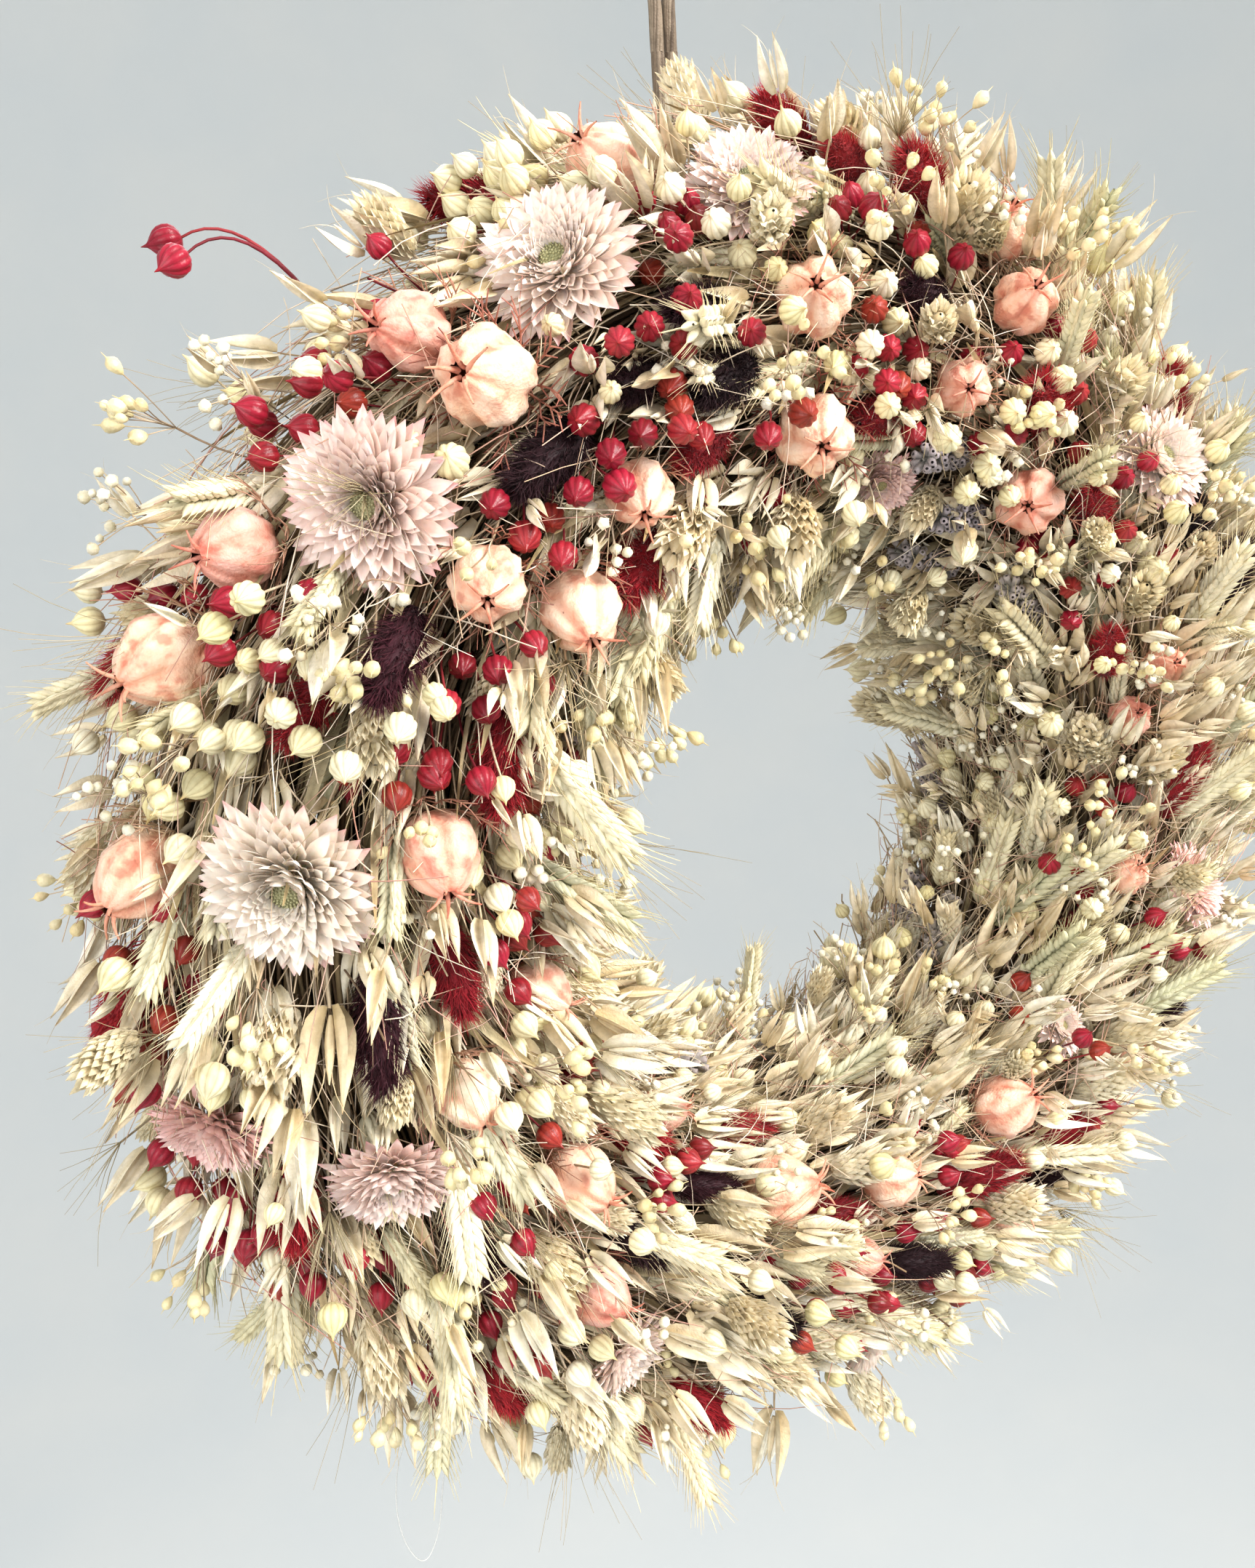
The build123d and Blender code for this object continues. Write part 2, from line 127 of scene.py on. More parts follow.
def ramp(tree, source, colours):
    """A colour ramp with the colours evenly spaced, or at given (place, colour) stops."""
    node = tree.nodes.new("ShaderNodeValToRGB")
    stops = colours if isinstance(colours[0][1], tuple) else [
        (k / max(len(colours) - 1, 1), c) for k, c in enumerate(colours)
    ]
    elements = node.color_ramp.elements
    while len(elements) < len(stops):
        elements.new(0.5)
    for element, (place, colour) in zip(elements, stops):
        element.position = place
        element.color = (*[linear(v) for v in colour], 1)
    tree.links.new(source, node.inputs["Fac"])
    return node.outputs["Color"]


def linear(value):
    """A display value out of 255 as linear light."""
    v = value / 255
    return v / 12.92 if v <= 0.04045 else ((v + 0.055) / 1.055) ** 2.4


def mixed(tree, way, share, a, b):
    node = tree.nodes.new("ShaderNodeMix")
    node.data_type = "RGBA"
    node.blend_type = way
    if isinstance(share, float):
        node.inputs["Factor"].default_value = share
    else:
        tree.links.new(share, node.inputs["Factor"])
    tree.links.new(a, node.inputs["A"])
    tree.links.new(b, node.inputs["B"])
    return node.outputs["Result"]


def noise(tree, scale, detail=3.0):
    place = tree.nodes.new("ShaderNodeTexCoord")
    node = tree.nodes.new("ShaderNodeTexNoise")
    node.inputs["Scale"].default_value = scale
    node.inputs["Detail"].default_value = detail
    tree.links.new(place.outputs["Object"], node.inputs["Vector"])
    return node.outputs["Fac"]


def rough_and_bump(tree, shader, grain, low, high, depth):
    spread = tree.nodes.new("ShaderNodeMapRange")
    spread.inputs["To Min"].default_value = low
    spread.inputs["To Max"].default_value = high
    tree.links.new(grain, spread.inputs["Value"])
    tree.links.new(spread.outputs["Result"], shader.inputs["Roughness"])
    bump = tree.nodes.new("ShaderNodeBump")
    bump.inputs["Strength"].default_value = depth
    bump.inputs["Distance"].default_value = 0.0004
    tree.links.new(grain, bump.inputs["Height"])
    tree.links.new(bump.outputs["Normal"], shader.inputs["Normal"])


def tinted(name, tints, lengthwise, crosswise=None, mottle=None, scale=900.0, low=0.5, high=0.85, depth=0.5,
           sheen=0.0, through=0.0, strength=0.8):
    """Each item has a tint of its own along the map's u, and a ramp from its base to its tip along v: partly
    its own colour, partly painted shade that darkens bases lying deep among other parts.
    """
    made, tree, shader = nodes_of(name)
    uv = tree.nodes.new("ShaderNodeUVMap")
    uv.uv_map = "OFBake"
    parts = tree.nodes.new("ShaderNodeSeparateXYZ")
    tree.links.new(uv.outputs["UV"], parts.inputs["Vector"])
    colour = ramp(tree, parts.outputs["X"], tints)
    # lengthwise: partly the item's own colour, partly painted shade darkening its base
    shade = ramp(tree, parts.outputs["Y"], lengthwise)
    colour = mixed(tree, "MULTIPLY", strength, colour, shade)
    # crosswise: a ramp across each item; on the flax pods it is painted shade in the grooves between the ribs
    if crosswise:
        spot = tree.nodes.new("ShaderNodeMath")
        spot.operation = "MULTIPLY"
        spot.inputs[1].default_value = TINTS
        tree.links.new(parts.outputs["X"], spot.inputs[0])
        part = tree.nodes.new("ShaderNodeMath")
        part.operation = "FRACT"
        tree.links.new(spot.outputs[0], part.inputs[0])
        colour = mixed(tree, "MULTIPLY", strength, colour, ramp(tree, part.outputs[0], crosswise))
    grain = noise(tree, scale)
    blotch = ramp(tree, noise(tree, scale / 6), mottle or [(0.32, (204, 202, 198)), (0.6, (255, 255, 255))])
    colour = mixed(tree, "MULTIPLY", 0.75, colour, blotch)
    tree.links.new(colour, shader.inputs["Base Color"])
    shader.inputs["Sheen Weight"].default_value = sheen
    shader.inputs["Sheen Roughness"].default_value = 0.4
    shader.inputs["Specular IOR Level"].default_value = 0.3
    if through:
        shader.inputs["Subsurface Weight"].default_value = through
        shader.inputs["Subsurface Scale"].default_value = 0.002
        shader.inputs["Subsurface Radius"].default_value = (1.0, 0.7, 0.5)
    rough_and_bump(tree, shader, grain, low, high, depth)
    return made


def overall(name, dark, pale, scale, stretch=(1, 1, 1), low=0.4, high=0.8, depth=0.5, metal=0.0):
    """A material for a piece with no map of its own: grain in two colours."""
    made, tree, shader = nodes_of(name)
    place = tree.nodes.new("ShaderNodeTexCoord")
    sized = tree.nodes.new("ShaderNodeMapping")
    sized.inputs["Scale"].default_value = stretch
    tree.links.new(place.outputs["Object"], sized.inputs["Vector"])
    grain = tree.nodes.new("ShaderNodeTexNoise")
    grain.inputs["Scale"].default_value = scale
    grain.inputs["Detail"].default_value = 4.0
    tree.links.new(sized.outputs["Vector"], grain.inputs["Vector"])
    colour = ramp(tree, grain.outputs["Fac"], [(0.3, dark), (0.7, pale)])
    tree.links.new(colour, shader.inputs["Base Color"])
    shader.inputs["Metallic"].default_value = metal
    rough_and_bump(tree, shader, grain.outputs["Fac"], low, high, depth)
    return made


# ---------------------------------------------------------------- mesh making
def grid_faces(rows, cols, closed):
    r, c = np.meshgrid(np.arange(rows - 1), np.arange(cols if closed else cols - 1), indexing="ij")
    r, c = r.ravel(), c.ravel()
    d = (c + 1) % cols
    return np.stack([r * cols + c, r * cols + d, (r + 1) * cols + d, (r + 1) * cols + c], 1)


def unit(v):
    return v / np.maximum(np.linalg.norm(v, axis=-1, keepdims=True), 1e-9)


class Shape:
    """One small mesh: places, map, four-sided and three-sided faces."""

    def __init__(self, co, uv, quads=None, tris=None):
        self.co = np.asarray(co, float)
        self.uv = np.asarray(uv, float)
        self.quads = np.zeros((0, 4), int) if quads is None else np.asarray(quads, int)
        self.tris = np.zeros((0, 3), int) if tris is None else np.asarray(tris, int)

    def moved(self, turn=None, by=(0, 0, 0), scale=1.0):
        co = self.co * scale
        if turn is not None:
            co = co @ np.asarray(turn, float).T
        return Shape(co + np.asarray(by, float), self.uv, self.quads, self.tris)

    def marked(self, low, high):
        """The same shape with its map's v between two values."""
        uv = self.uv.copy()
        uv[:, 1] = low + (high - low) * uv[:, 1]
        return Shape(self.co, uv, self.quads, self.tris)


def joined(shapes):
    starts = np.cumsum([0] + [len(s.co) for s in shapes])
    return Shape(
        np.concatenate([s.co for s in shapes]),
        np.concatenate([s.uv for s in shapes]),
        np.concatenate([s.quads + k for s, k in zip(shapes, starts)]),
        np.concatenate([s.tris + k for s, k in zip(shapes, starts)]),
    )


def turn_y(angle):
    c, s = math.cos(angle), math.sin(angle)
    return np.array([[c, 0, s], [0, 1, 0], [-s, 0, c]])


def turn_z(angle):
    c, s = math.cos(angle), math.sin(angle)
    return np.array([[c, -s, 0], [s, c, 0], [0, 0, 1]])


def lathe(heights, radii, sides, wave=None):
    """A turned shape along +Z, its radius varied round and along by wave(angle, t)."""
    heights, radii = np.asarray(heights, float), np.asarray(radii, float)
    angle = np.linspace(0, TAU, sides, endpoint=False)
    t = np.linspace(0, 1, len(heights))
    r = radii[:, None] * (1 + (wave(angle[None], t[:, None]) if wave else 0))
    co = np.stack([r * np.cos(angle), r * np.sin(angle), np.repeat(heights[:, None], sides, 1)], -1)
    fold = 1 - np.abs(1 - 2 * (angle / TAU))
    uv = np.stack(np.broadcast_arrays(fold[None], t[:, None]), -1)
    return Shape(co.reshape(-1, 3), uv.reshape(-1, 2), grid_faces(len(heights), sides, True))


def leaf(length, width, cup, curl, rows=6, cols=5, fullness=0.75, lift=0.0):
    """A petal or scale along +X, its face up +Z, cupped across and curled along."""
    t = np.linspace(0, 1, rows)[:, None]
    s = np.linspace(-1, 1, cols)[None]
    half = 0.5 * width * np.maximum(np.sin(math.pi * (0.06 + 0.94 * t) ** fullness), 0.04)
    x = np.broadcast_to(length * t, (rows, cols)) - 0.12 * length * curl * t**3
    y = half * s
    z = curl * length * t**2 + cup * half * s**2 + lift * t
    uv = np.stack(np.broadcast_arrays((s + 1) / 2, t), -1)
    return Shape(np.stack([x, y, z], -1).reshape(-1, 3), uv.reshape(-1, 2), grid_faces(rows, cols, False))


def tubes(points, radii, sides=3):
    """Thin stems: points (m, k, 3), radii (k,) or (m, k). Gives places, map and faces."""
    m, k = points.shape[:2]
    radii = np.broadcast_to(radii, (m, k))
    way = unit(np.gradient(points, axis=1))
    hint = np.cross(way[:, k // 2], np.array([0.31, 0.77, 0.55]))
    n = hint[:, None] - (hint[:, None] * way).sum(-1, keepdims=True) * way
    n = unit(n)
    b = np.cross(way, n)
    a = np.linspace(0, TAU, sides, endpoint=False)
    ring = n[:, :, None] * np.cos(a)[None, None, :, None] + b[:, :, None] * np.sin(a)[None, None, :, None]
    co = points[:, :, None] + radii[:, :, None, None] * ring
    fold = (np.arange(sides) + 0.5) / sides
    uv = np.stack(np.broadcast_arrays(fold[None], np.linspace(0, 1, k)[:, None]), -1)
    return co.reshape(m, -1, 3), uv.reshape(-1, 2), grid_faces(k, sides, True)


def tube_shape(points, radii, sides=3):
    co, uv, quads = tubes(np.asarray(points, float)[None], np.asarray(radii, float), sides)
    return Shape(co[0], uv, quads)


def ribbons(points, widths, face):
    """Flat creased blades: points (m, k, 3), widths (k,), face (m, 3)."""
    m, k = points.shape[:2]
    way = unit(np.gradient(points, axis=1))
    side = unit(np.cross(way, face[:, None]))
    half = 0.5 * np.broadcast_to(widths, (m, k))[:, :, None]
    up = np.cross(side, way)
    co = np.stack([points - half * side, points - 0.5 * half * up, points + half * side], 2)
    uv = np.stack(np.broadcast_arrays(np.array([0.1, 0.5, 0.9])[None], np.linspace(0, 1, k)[:, None]), -1)
    return co.reshape(m, -1, 3), uv.reshape(-1, 2), grid_faces(k, 3, False)


def slots_of(tint, uv):
    """The map's u for items of these tints."""
    m = len(tint)
    u = (np.asarray(tint)[:, None] + 0.12 + 0.76 * uv[None, :, 0]) / TINTS
    return np.stack([u, np.broadcast_to(uv[None, :, 1], (m, len(uv)))], -1)


low_limit = np.array(cad_box[0]) - SPREAD
high_limit = np.array(cad_box[1]) + SPREAD
high_limit[1] = DOOR_Y
OAT_PIVOT = np.array([-20, -57, -413]) * MM
OAT_TIPS = np.array([[-26, -60, -431], [-6, -58, -436], [-22, -52, -444]]) * MM
POD_PIVOT = np.array([-111, -30, -103]) * MM
POD_ELBOW = np.array([-131, -30, -78]) * MM
POD_TIPS = np.array([[-143, -26, -80], [-145, -35, -84]]) * MM
SWING_ROOM = 0.0115  # kept clear round the sprays that swing


def swing_places():
    """Places along the two sprays that swing, from a little past their pivots to their ends."""
    ends = [(OAT_PIVOT, tip + 0.024 * unit(tip - OAT_PIVOT)) for tip in OAT_TIPS]
    ends += [(POD_PIVOT, POD_ELBOW)] + [(POD_ELBOW, tip) for tip in POD_TIPS]
    places = []
    for a, b in ends:
        for s in np.linspace(0, 1, 12):
            place = a + (b - a) * s
            if min(np.linalg.norm(place - OAT_PIVOT), np.linalg.norm(place - POD_PIVOT)) > 0.007:
                places.append(place)
    return np.array(places)


SWING = swing_places()


class Heap:
    """Gathers many small meshes of one kind, to be made into one piece."""

    def __init__(self, swings=False):
        self.co, self.uv, self.faces, self.count = [], [], [], 0
        self.swings = swings

    def put(self, co, uv, faces):
        """co (m, n, 3), uv (m, n, 2), faces: lists of face corners. What leaves the room is left out."""
        fits = np.all((co > low_limit) & (co < high_limit), axis=(1, 2))
        if not self.swings:
            low, high = SWING.min(0) - SWING_ROOM, SWING.max(0) + SWING_ROOM
            close = np.any(np.all((co > low) & (co < high), axis=2), axis=1) & fits
            for k in np.nonzero(close)[0]:
                gap = np.linalg.norm(co[k][:, None] - SWING[None], axis=2)
                fits[k] = gap.min() > SWING_ROOM
        co, uv = co[fits], uv[fits]
        m, n = co.shape[:2]
        if not m:
            return
        start = self.count + n * np.arange(m)
        for f in faces:
            if len(f):
                self.faces.append((f[None] + start[:, None, None]).reshape(-1, f.shape[1]))
        self.co.append(co.reshape(-1, 3))
        self.uv.append(uv.reshape(-1, 2))
        self.count += m * n

    def strands(self, points, radii, tint, sides=3):
        points = points.copy()
        reach = np.max(np.broadcast_to(radii, points.shape[:2]), 1)[:, None]
        points[..., 1] = np.minimum(points[..., 1], DOOR_Y - reach - 0.0002)
        co, uv, quads = tubes(points, radii, sides)
        self.put(co, slots_of(tint, uv), [quads])

    def blades(self, points, widths, face, tint):
        co, uv, quads = ribbons(points, widths, face)
        self.put(co, slots_of(tint, uv), [quads])

    def stand(self, shape, base, axis, scale, tint, spin):
        """Copies of a shape on their bases, their +Z along axis."""
        z = unit(axis)
        hint = np.where(np.abs(z[:, 2:]) < 0.9, np.array([[0.0, 0, 1]]), np.array([[1.0, 0, 0]]))
        x0 = unit(np.cross(hint, z))
        y0 = np.cross(z, x0)
        x = x0 * np.cos(spin)[:, None] + y0 * np.sin(spin)[:, None]
        y = np.cross(z, x)
        turn = np.stack([x, y, z], -1)
        co = base[:, None] + np.asarray(scale)[:, None, None] * np.einsum("mij,nj->mni", turn, shape.co)
        self.put(co, slots_of(tint, shape.uv), [shape.quads, shape.tris])

    def stand_mixed(self, shapes, kinds, base, axis, scale, tint, spin):
        """Each base gets the shape that kinds names."""
        for k, shape in enumerate(shapes):
            pick = kinds == k
            if pick.any():
                self.stand(shape, base[pick], axis[pick], scale[pick], tint[pick], spin[pick])

    def piece(self, name, material, body="wreath", slot=None, nodes=()):
        co, uv = np.concatenate(self.co), np.concatenate(self.uv)
        mesh = bpy.data.meshes.new(name)
        mesh.vertices.add(len(co))
        mesh.vertices.foreach_set("co", co.astype(np.float32).ravel())
        corners = np.concatenate([f.ravel() for f in self.faces]).astype(np.int32)
        sizes = np.concatenate([np.full(len(f), f.shape[1]) for f in self.faces]).astype(np.int32)
        mesh.loops.add(len(corners))
        mesh.loops.foreach_set("vertex_index", corners)
        mesh.polygons.add(len(sizes))
        mesh.polygons.foreach_set("loop_start", np.concatenate([[0], np.cumsum(sizes)[:-1]]).astype(np.int32))
        mesh.polygons.foreach_set("use_smooth", np.ones(len(sizes), bool))
        layer = mesh.uv_layers.new(name="OFBake")
        layer.data.foreach_set("uv", uv[corners].astype(np.float32).ravel())
        mesh.update(calc_edges=True)
        mesh.validate()
        mesh.materials.append(material)
        made = bpy.data.objects.new(name, mesh)
        bpy.context.scene.collection.objects.link(made)
        if body:
            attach(made, body)
        if nodes:
            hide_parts(*nodes)
        return made


# ---------------------------------------------------------------- places on the wreath
def outward(clock):
    c = np.radians(clock)
    return np.stack([np.sin(c), 0 * c, np.cos(c)], -1)


def along(clock):
    """The way the heads point: counter-clockwise."""
    c = np.radians(clock)
    return np.stack([-np.cos(c), 0 * c, np.sin(c)], -1)


def at(clock, across, share):
    clock, across, share = np.broadcast_arrays(clock, across, share)
    f = np.radians(across)
    reach = RING + HALF_WIDTH * share * np.cos(f)
    place = outward(clock) * reach[..., None]
    place[..., 1] = MIDDLE_Y - HALF_DEPTH * share * np.sin(f)
    place[..., 2] += MIDDLE_Z
    return place


def normal(clock, across):
    f = np.radians(across)
    n = outward(clock) * (np.cos(f) / HALF_WIDTH)[..., None]
    n[..., 1] -= np.sin(f) / HALF_DEPTH
    return unit(n)


def tints_for(rng, count):
    """A tint slot for each of count items."""
    return rng.integers(0, TINTS, count)


def random_way(rng, m):
    return unit(rng.normal(size=(m, 3)))


def leaning(rng, clock, across, lean, wander):
    tip = np.radians(lean)
    n = normal(clock, across)
    way = n * np.cos(tip)[:, None] + along(clock) * np.sin(tip)[:, None]
    return unit(way + wander * random_way(rng, len(clock)))


def arc_points(base, way, droop, length, k):
    """Stems from base along way, bending by droop as they go."""
    t = np.linspace(0, 1, k)[None, :, None]
    return base[:, None] + length[:, None, None] * (way[:, None] * t + droop[:, None] * t * t)


def flow(clock, across, first, last, span, drift, k):
    """Strands that run round the ring the way the heads point, from one share to another."""
    t = np.linspace(0, 1, k)[None]
    clock, across, first, last, span, drift = (
        np.asarray(v, float)[:, None] for v in (clock, across, first, last, span, drift)
    )
    return at(clock - span * t, across + drift * t, first + (last - first) * t**1.3)


# ---------------------------------------------------------------- heads from the CAD nodes
def islands(node):
    """The separate solids of a node, as arrays of places."""
    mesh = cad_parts[node].data
    co = np.zeros(len(mesh.vertices) * 3)
    mesh.vertices.foreach_get("co", co)
    co = co.reshape(-1, 3)
    edges = np.zeros(len(mesh.edges) * 2, int)
    mesh.edges.foreach_get("vertices", edges)
    _, same = np.unique(np.round(co * 1e5).astype(int), axis=0, return_inverse=True)
    same = same.ravel()
    a, b = same[edges[0::2]], same[edges[1::2]]
    label = np.arange(same.max() + 1)
    while True:
        lowest = np.minimum(label[a], label[b])
        before = label.copy()
        np.minimum.at(label, a, lowest)
        np.minimum.at(label, b, lowest)
        label = label[label]
        if np.array_equal(before, label):
            break
    each = label[same]
    return [co[each == k] for k in np.unique(each)]


def heads(node, kind, length=None):
    """Foot, base of the head, way, radius and length of each head in a node."""
    rows = []
    for co in islands(node):
        off = np.hypot(np.hypot(co[:, 0], co[:, 2] - MIDDLE_Z) - RING, co[:, 1] - MIDDLE_Y)
        near = co[np.argmin(off)]
        foot = co[np.linalg.norm(co - near, axis=1) < 2.6 * MM].mean(0)
        far = np.linalg.norm(co - foot, axis=1)
        tip = co[far > far.max() - 0.9 * MM].mean(0)
        way = unit(tip - foot)
        rise = (co - foot) @ way
        wide = np.linalg.norm(co - foot - rise[:, None] * way, axis=1)
        radius = wide.max()
        middle = rise[wide > 0.96 * radius].mean()
        whole = rise.max()
        if kind == "round":
            low = middle - radius
        elif kind == "open":
            low = whole - 0.5 * radius
        else:
            low = whole - (length or 2 * (whole - middle))
        rows.append((foot, foot + way * low, way, radius, whole - low, low))
    rows.sort(key=lambda row: tuple(np.round(row[0], 5)))
    return [np.array(column) for column in zip(*rows)]


# ---------------------------------------------------------------- shapes of the heads
def flax_shape(rng):
    """A round pod with ten ribs, a short point and five sepals. Unit radius."""
    z = np.array([0, 0.06, 0.25, 0.55, 0.9, 1.25, 1.55, 1.8, 1.95, 2.1, 2.45])
    r = np.array([0.12, 0.4, 0.72, 0.95, 1.0, 0.93, 0.74, 0.46, 0.26, 0.12, 0.02])
    sides = 40
    body = lathe(z, r, sides, lambda a, t: -0.13 * np.abs(np.cos(5 * a)) ** 3 * np.sin(math.pi * t))
    # u round the pod: 0 in each groove between the ribs, where the flax materials paint shade
    fold = np.abs(np.cos(5 * np.linspace(0, TAU, sides, endpoint=False))) ** 2
    body.uv[:, 0] = np.tile(1 - fold, len(z))
    parts = [body.marked(0.12, 1)]
    for k in range(5):
        sepal = leaf(1.25, 0.5, 0.5, 0.45, 4, 3).moved(turn_y(-0.75), (0.1, 0, 0.0)).marked(0, 0.1)
        parts.append(sepal.moved(turn_z(k * TAU / 5 + 0.2 * rng.normal())))
    return joined(parts)


def nigella_shape(rng):
    """A balloon pod of five lobes with horns. Unit radius."""
    t = np.linspace(0, 1, 19)
    z = 2.15 * t
    r = np.sin(math.pi * np.clip(0.04 + 0.93 * t, 0, 1)) ** 0.62 * (1.04 - 0.16 * t)
    sides = 50
    squeeze = 0.03 * rng.normal()
    lag = rng.uniform(0, TAU, 4)
    body = lathe(z, r, sides, lambda a, s: (
        -0.15 * np.abs(np.cos(2.5 * a)) ** 6 * (0.5 + s) + squeeze * np.cos(a)
        + 0.028 * np.sin(7 * a + 9 * s + lag[0]) + 0.024 * np.sin(13 * a - 11 * s + lag[1])
        + 0.02 * np.sin(3 * a + 17 * s + lag[2]) + 0.016 * np.sin(19 * a + 23 * s + lag[3])))
    angle = np.linspace(0, TAU, sides, endpoint=False)
    body.uv[:, 0] = np.tile(1 - np.abs(np.cos(2.5 * angle)), len(t))
    parts = [body.marked(0.05, 0.8)]
    for k in range(5):
        s = np.linspace(0, 1, 7)
        bend = 0.75 + 0.2 * rng.normal()
        points = np.stack([
            0.12 + 0.15 * s + bend * s**2 * 0.45, 0.12 * rng.normal() * s**2, 1.93 + 0.7 * s - 0.2 * s**2,
        ], -1)
        horn = tube_shape(points, 0.075 * (1 - 0.75 * s), 5).marked(0.82, 1)
        parts.append(horn.moved(turn_z((k + 0.5) * TAU / 5)))
    return joined(parts)


def bract_shape(rng):
    """The thready ruff below a nigella pod. Unit radius."""
    parts = []
    for k in range(13):
        s = np.linspace(0, 1, 7)[:, None]
        reach = 1.25 + 0.3 * rng.random()
        rise = 0.5 + 1.4 * rng.random()
        main = np.concatenate([
            reach * np.sin(1.45 * s), 0.25 * rng.normal() * s**2, -0.12 + rise * s**1.7,
        ], 1)
        branch = [tube_shape(main, 0.035 * (1 - 0.7 * s[:, 0]), 3)]
        for j in (2, 3, 4):
            for side in (-1, 1):
                stem = main[j] + s[:5] * np.array([[0.42, 0.3 * side, 0.35 + 0.25 * rng.random()]])
                branch.append(tube_shape(stem, 0.022 * (1 - 0.7 * s[:5, 0]), 3))
        parts.append(joined(branch).moved(turn_z(k * TAU / 13 + 0.15 * rng.normal())))
    return joined(parts)


def strawflower_shape(rng):
    """Rows of papery petals, the inner ones standing. Unit radius."""
    parts = []
    for row, (count, tilt, length, curl) in enumerate([
        (30, -4, 1.0, 0.10), (30, 4, 0.99, 0.14), (30, 12, 0.94, 0.16), (29, 20, 0.88, 0.18),
        (28, 29, 0.80, 0.2), (27, 39, 0.70, 0.2), (25, 50, 0.60, 0.16), (22, 62, 0.50, 0.1),
        (18, 74, 0.42, 0.02),
    ]):
        for k in range(count):
            size = (length - 0.2) * (1 + 0.06 * rng.normal())
            petal = leaf(size, 0.2 * (0.6 + 0.4 * length), 0.6, curl + 0.06 * rng.normal(), 7, 5, 1.6)
            petal = petal.marked(0.1 * (row > 3), 1 - 0.07 * row)
            lean = math.radians(tilt + 4 * rng.normal())
            petal = petal.moved(turn_y(-lean), (0.22 - 0.008 * row, 0, 0.04 + 0.02 * row))
            parts.append(petal.moved(turn_z((k + 0.5 * (row % 2)) * TAU / count + 0.05 * rng.normal())))
    return joined(parts)


def button_shape(rng):
    """The flower's centre: small florets packed on a dome. Unit radius."""
    t = np.linspace(0, 1, 7)
    parts = [lathe(0.55 * np.sin(t * math.pi / 2), np.cos(t * math.pi / 2) * 0.95 + 0.02, 20).marked(0, 0.5)]
    floret = lathe([0, 0.07, 0.14, 0.17], [0.045, 0.062, 0.05, 0.012], 5)
    count = 110
    for k in range(count):
        out = math.sqrt((k + 0.5) / count)
        rise = 0.55 * math.sqrt(max(1 - out * out, 0))
        turned = turn_z(k * GOLDEN) @ turn_y(0.9 * out)
        place = turn_z(k * GOLDEN) @ np.array([0.95 * out, 0, rise - 0.03])
        parts.append(floret.moved(turned, place, 0.8 + 0.4 * rng.random()).marked(0.45 * (out < 0.5), 1))
    return joined(parts)


def tail_shape(rng):
    """A soft hare's-tail head: a core under fine hairs. Unit length, radius 0.22."""
    t = np.linspace(0, 1, 9)
    r = 0.165 * np.sin(math.pi * (0.05 + 0.92 * t)) ** 0.7
    parts = [lathe(0.03 + 0.87 * t, r, 10).marked(0.1, 0.6)]
    count = 1500
    k = np.arange(count)
    s = (k + rng.random(count)) / count
    angle = k * GOLDEN + 0.3 * rng.normal(size=count)
    rad = 0.165 * np.sin(math.pi * (0.05 + 0.92 * s)) ** 0.7
    out = np.stack([np.cos(angle), np.sin(angle), 0 * angle], -1)
    base = out * rad[:, None] * 0.95
    base[:, 2] = 0.03 + 0.87 * s
    length = 0.10 + 0.11 * rng.random(count)
    way = unit(out * (0.55 - 0.25 * s)[:, None] + np.array([0, 0, 0.62]) + 0.22 * rng.normal(size=(count, 3)))
    side = unit(np.cross(way, rng.normal(size=(count, 3)))) * 0.0062
    tip = base + way * length[:, None]
    co = np.stack([base - side, base + side, tip], 1).reshape(-1, 3)
    uv = np.stack([np.stack([0.2 + 0 * s, 0.35 + 0.2 * s], -1), np.stack([0.8 + 0 * s, 0.35 + 0.2 * s], -1),
                   np.stack([0.5 + 0 * s, 1 + 0 * s], -1)], 1).reshape(-1, 2)
    parts.append(Shape(co, uv, None, np.arange(3 * count).reshape(-1, 3)))
    return joined(parts)


def husk(length, radius, sides=7):
    """A plump grain husk along +Z."""
    t = np.linspace(0, 1, 6)
    return lathe(length * t, radius * np.sin(math.pi * (0.08 + 0.9 * t)) ** 0.8 * (1.15 - 0.35 * t), sides)


def wheat_shape(rng):
    """An ear of wheat. Unit length, radius about 0.11."""
    s = np.linspace(0, 1, 5)
    parts = [tube_shape(np.stack([0 * s, 0 * s, 0.95 * s], -1), 0.018 - 0.008 * s, 4).marked(0, 0.1)]
    rows = 11
    for k in range(2 * rows):
        side = 1 if k % 2 else -1
        high = 0.01 + 0.42 / rows * k * 0.95
        for fan in (-1, 0, 1):
            grain = husk(0.19, 0.036 - 0.004 * abs(fan)).marked(0.1 + 0.02 * k, 0.55 + 0.015 * k)
            awn = 0.16 + 0.16 * rng.random()
            points = np.stack([0.02 * s * s, 0 * s, 0.17 + awn * s], -1)
            grain = joined([grain, tube_shape(points, 0.0045 * (1 - 0.7 * s), 3).marked(0.9, 1)])
            lean = side * (0.34 + 0.05 * rng.normal())
            cross = np.array([[1, 0, 0], [0, math.cos(0.4 * fan), -math.sin(0.4 * fan)],
                              [0, math.sin(0.4 * fan), math.cos(0.4 * fan)]])
            parts.append(grain.moved(turn_y(lean) @ cross, (0.014 * side, -0.02 * fan, high)))
    return joined(parts)


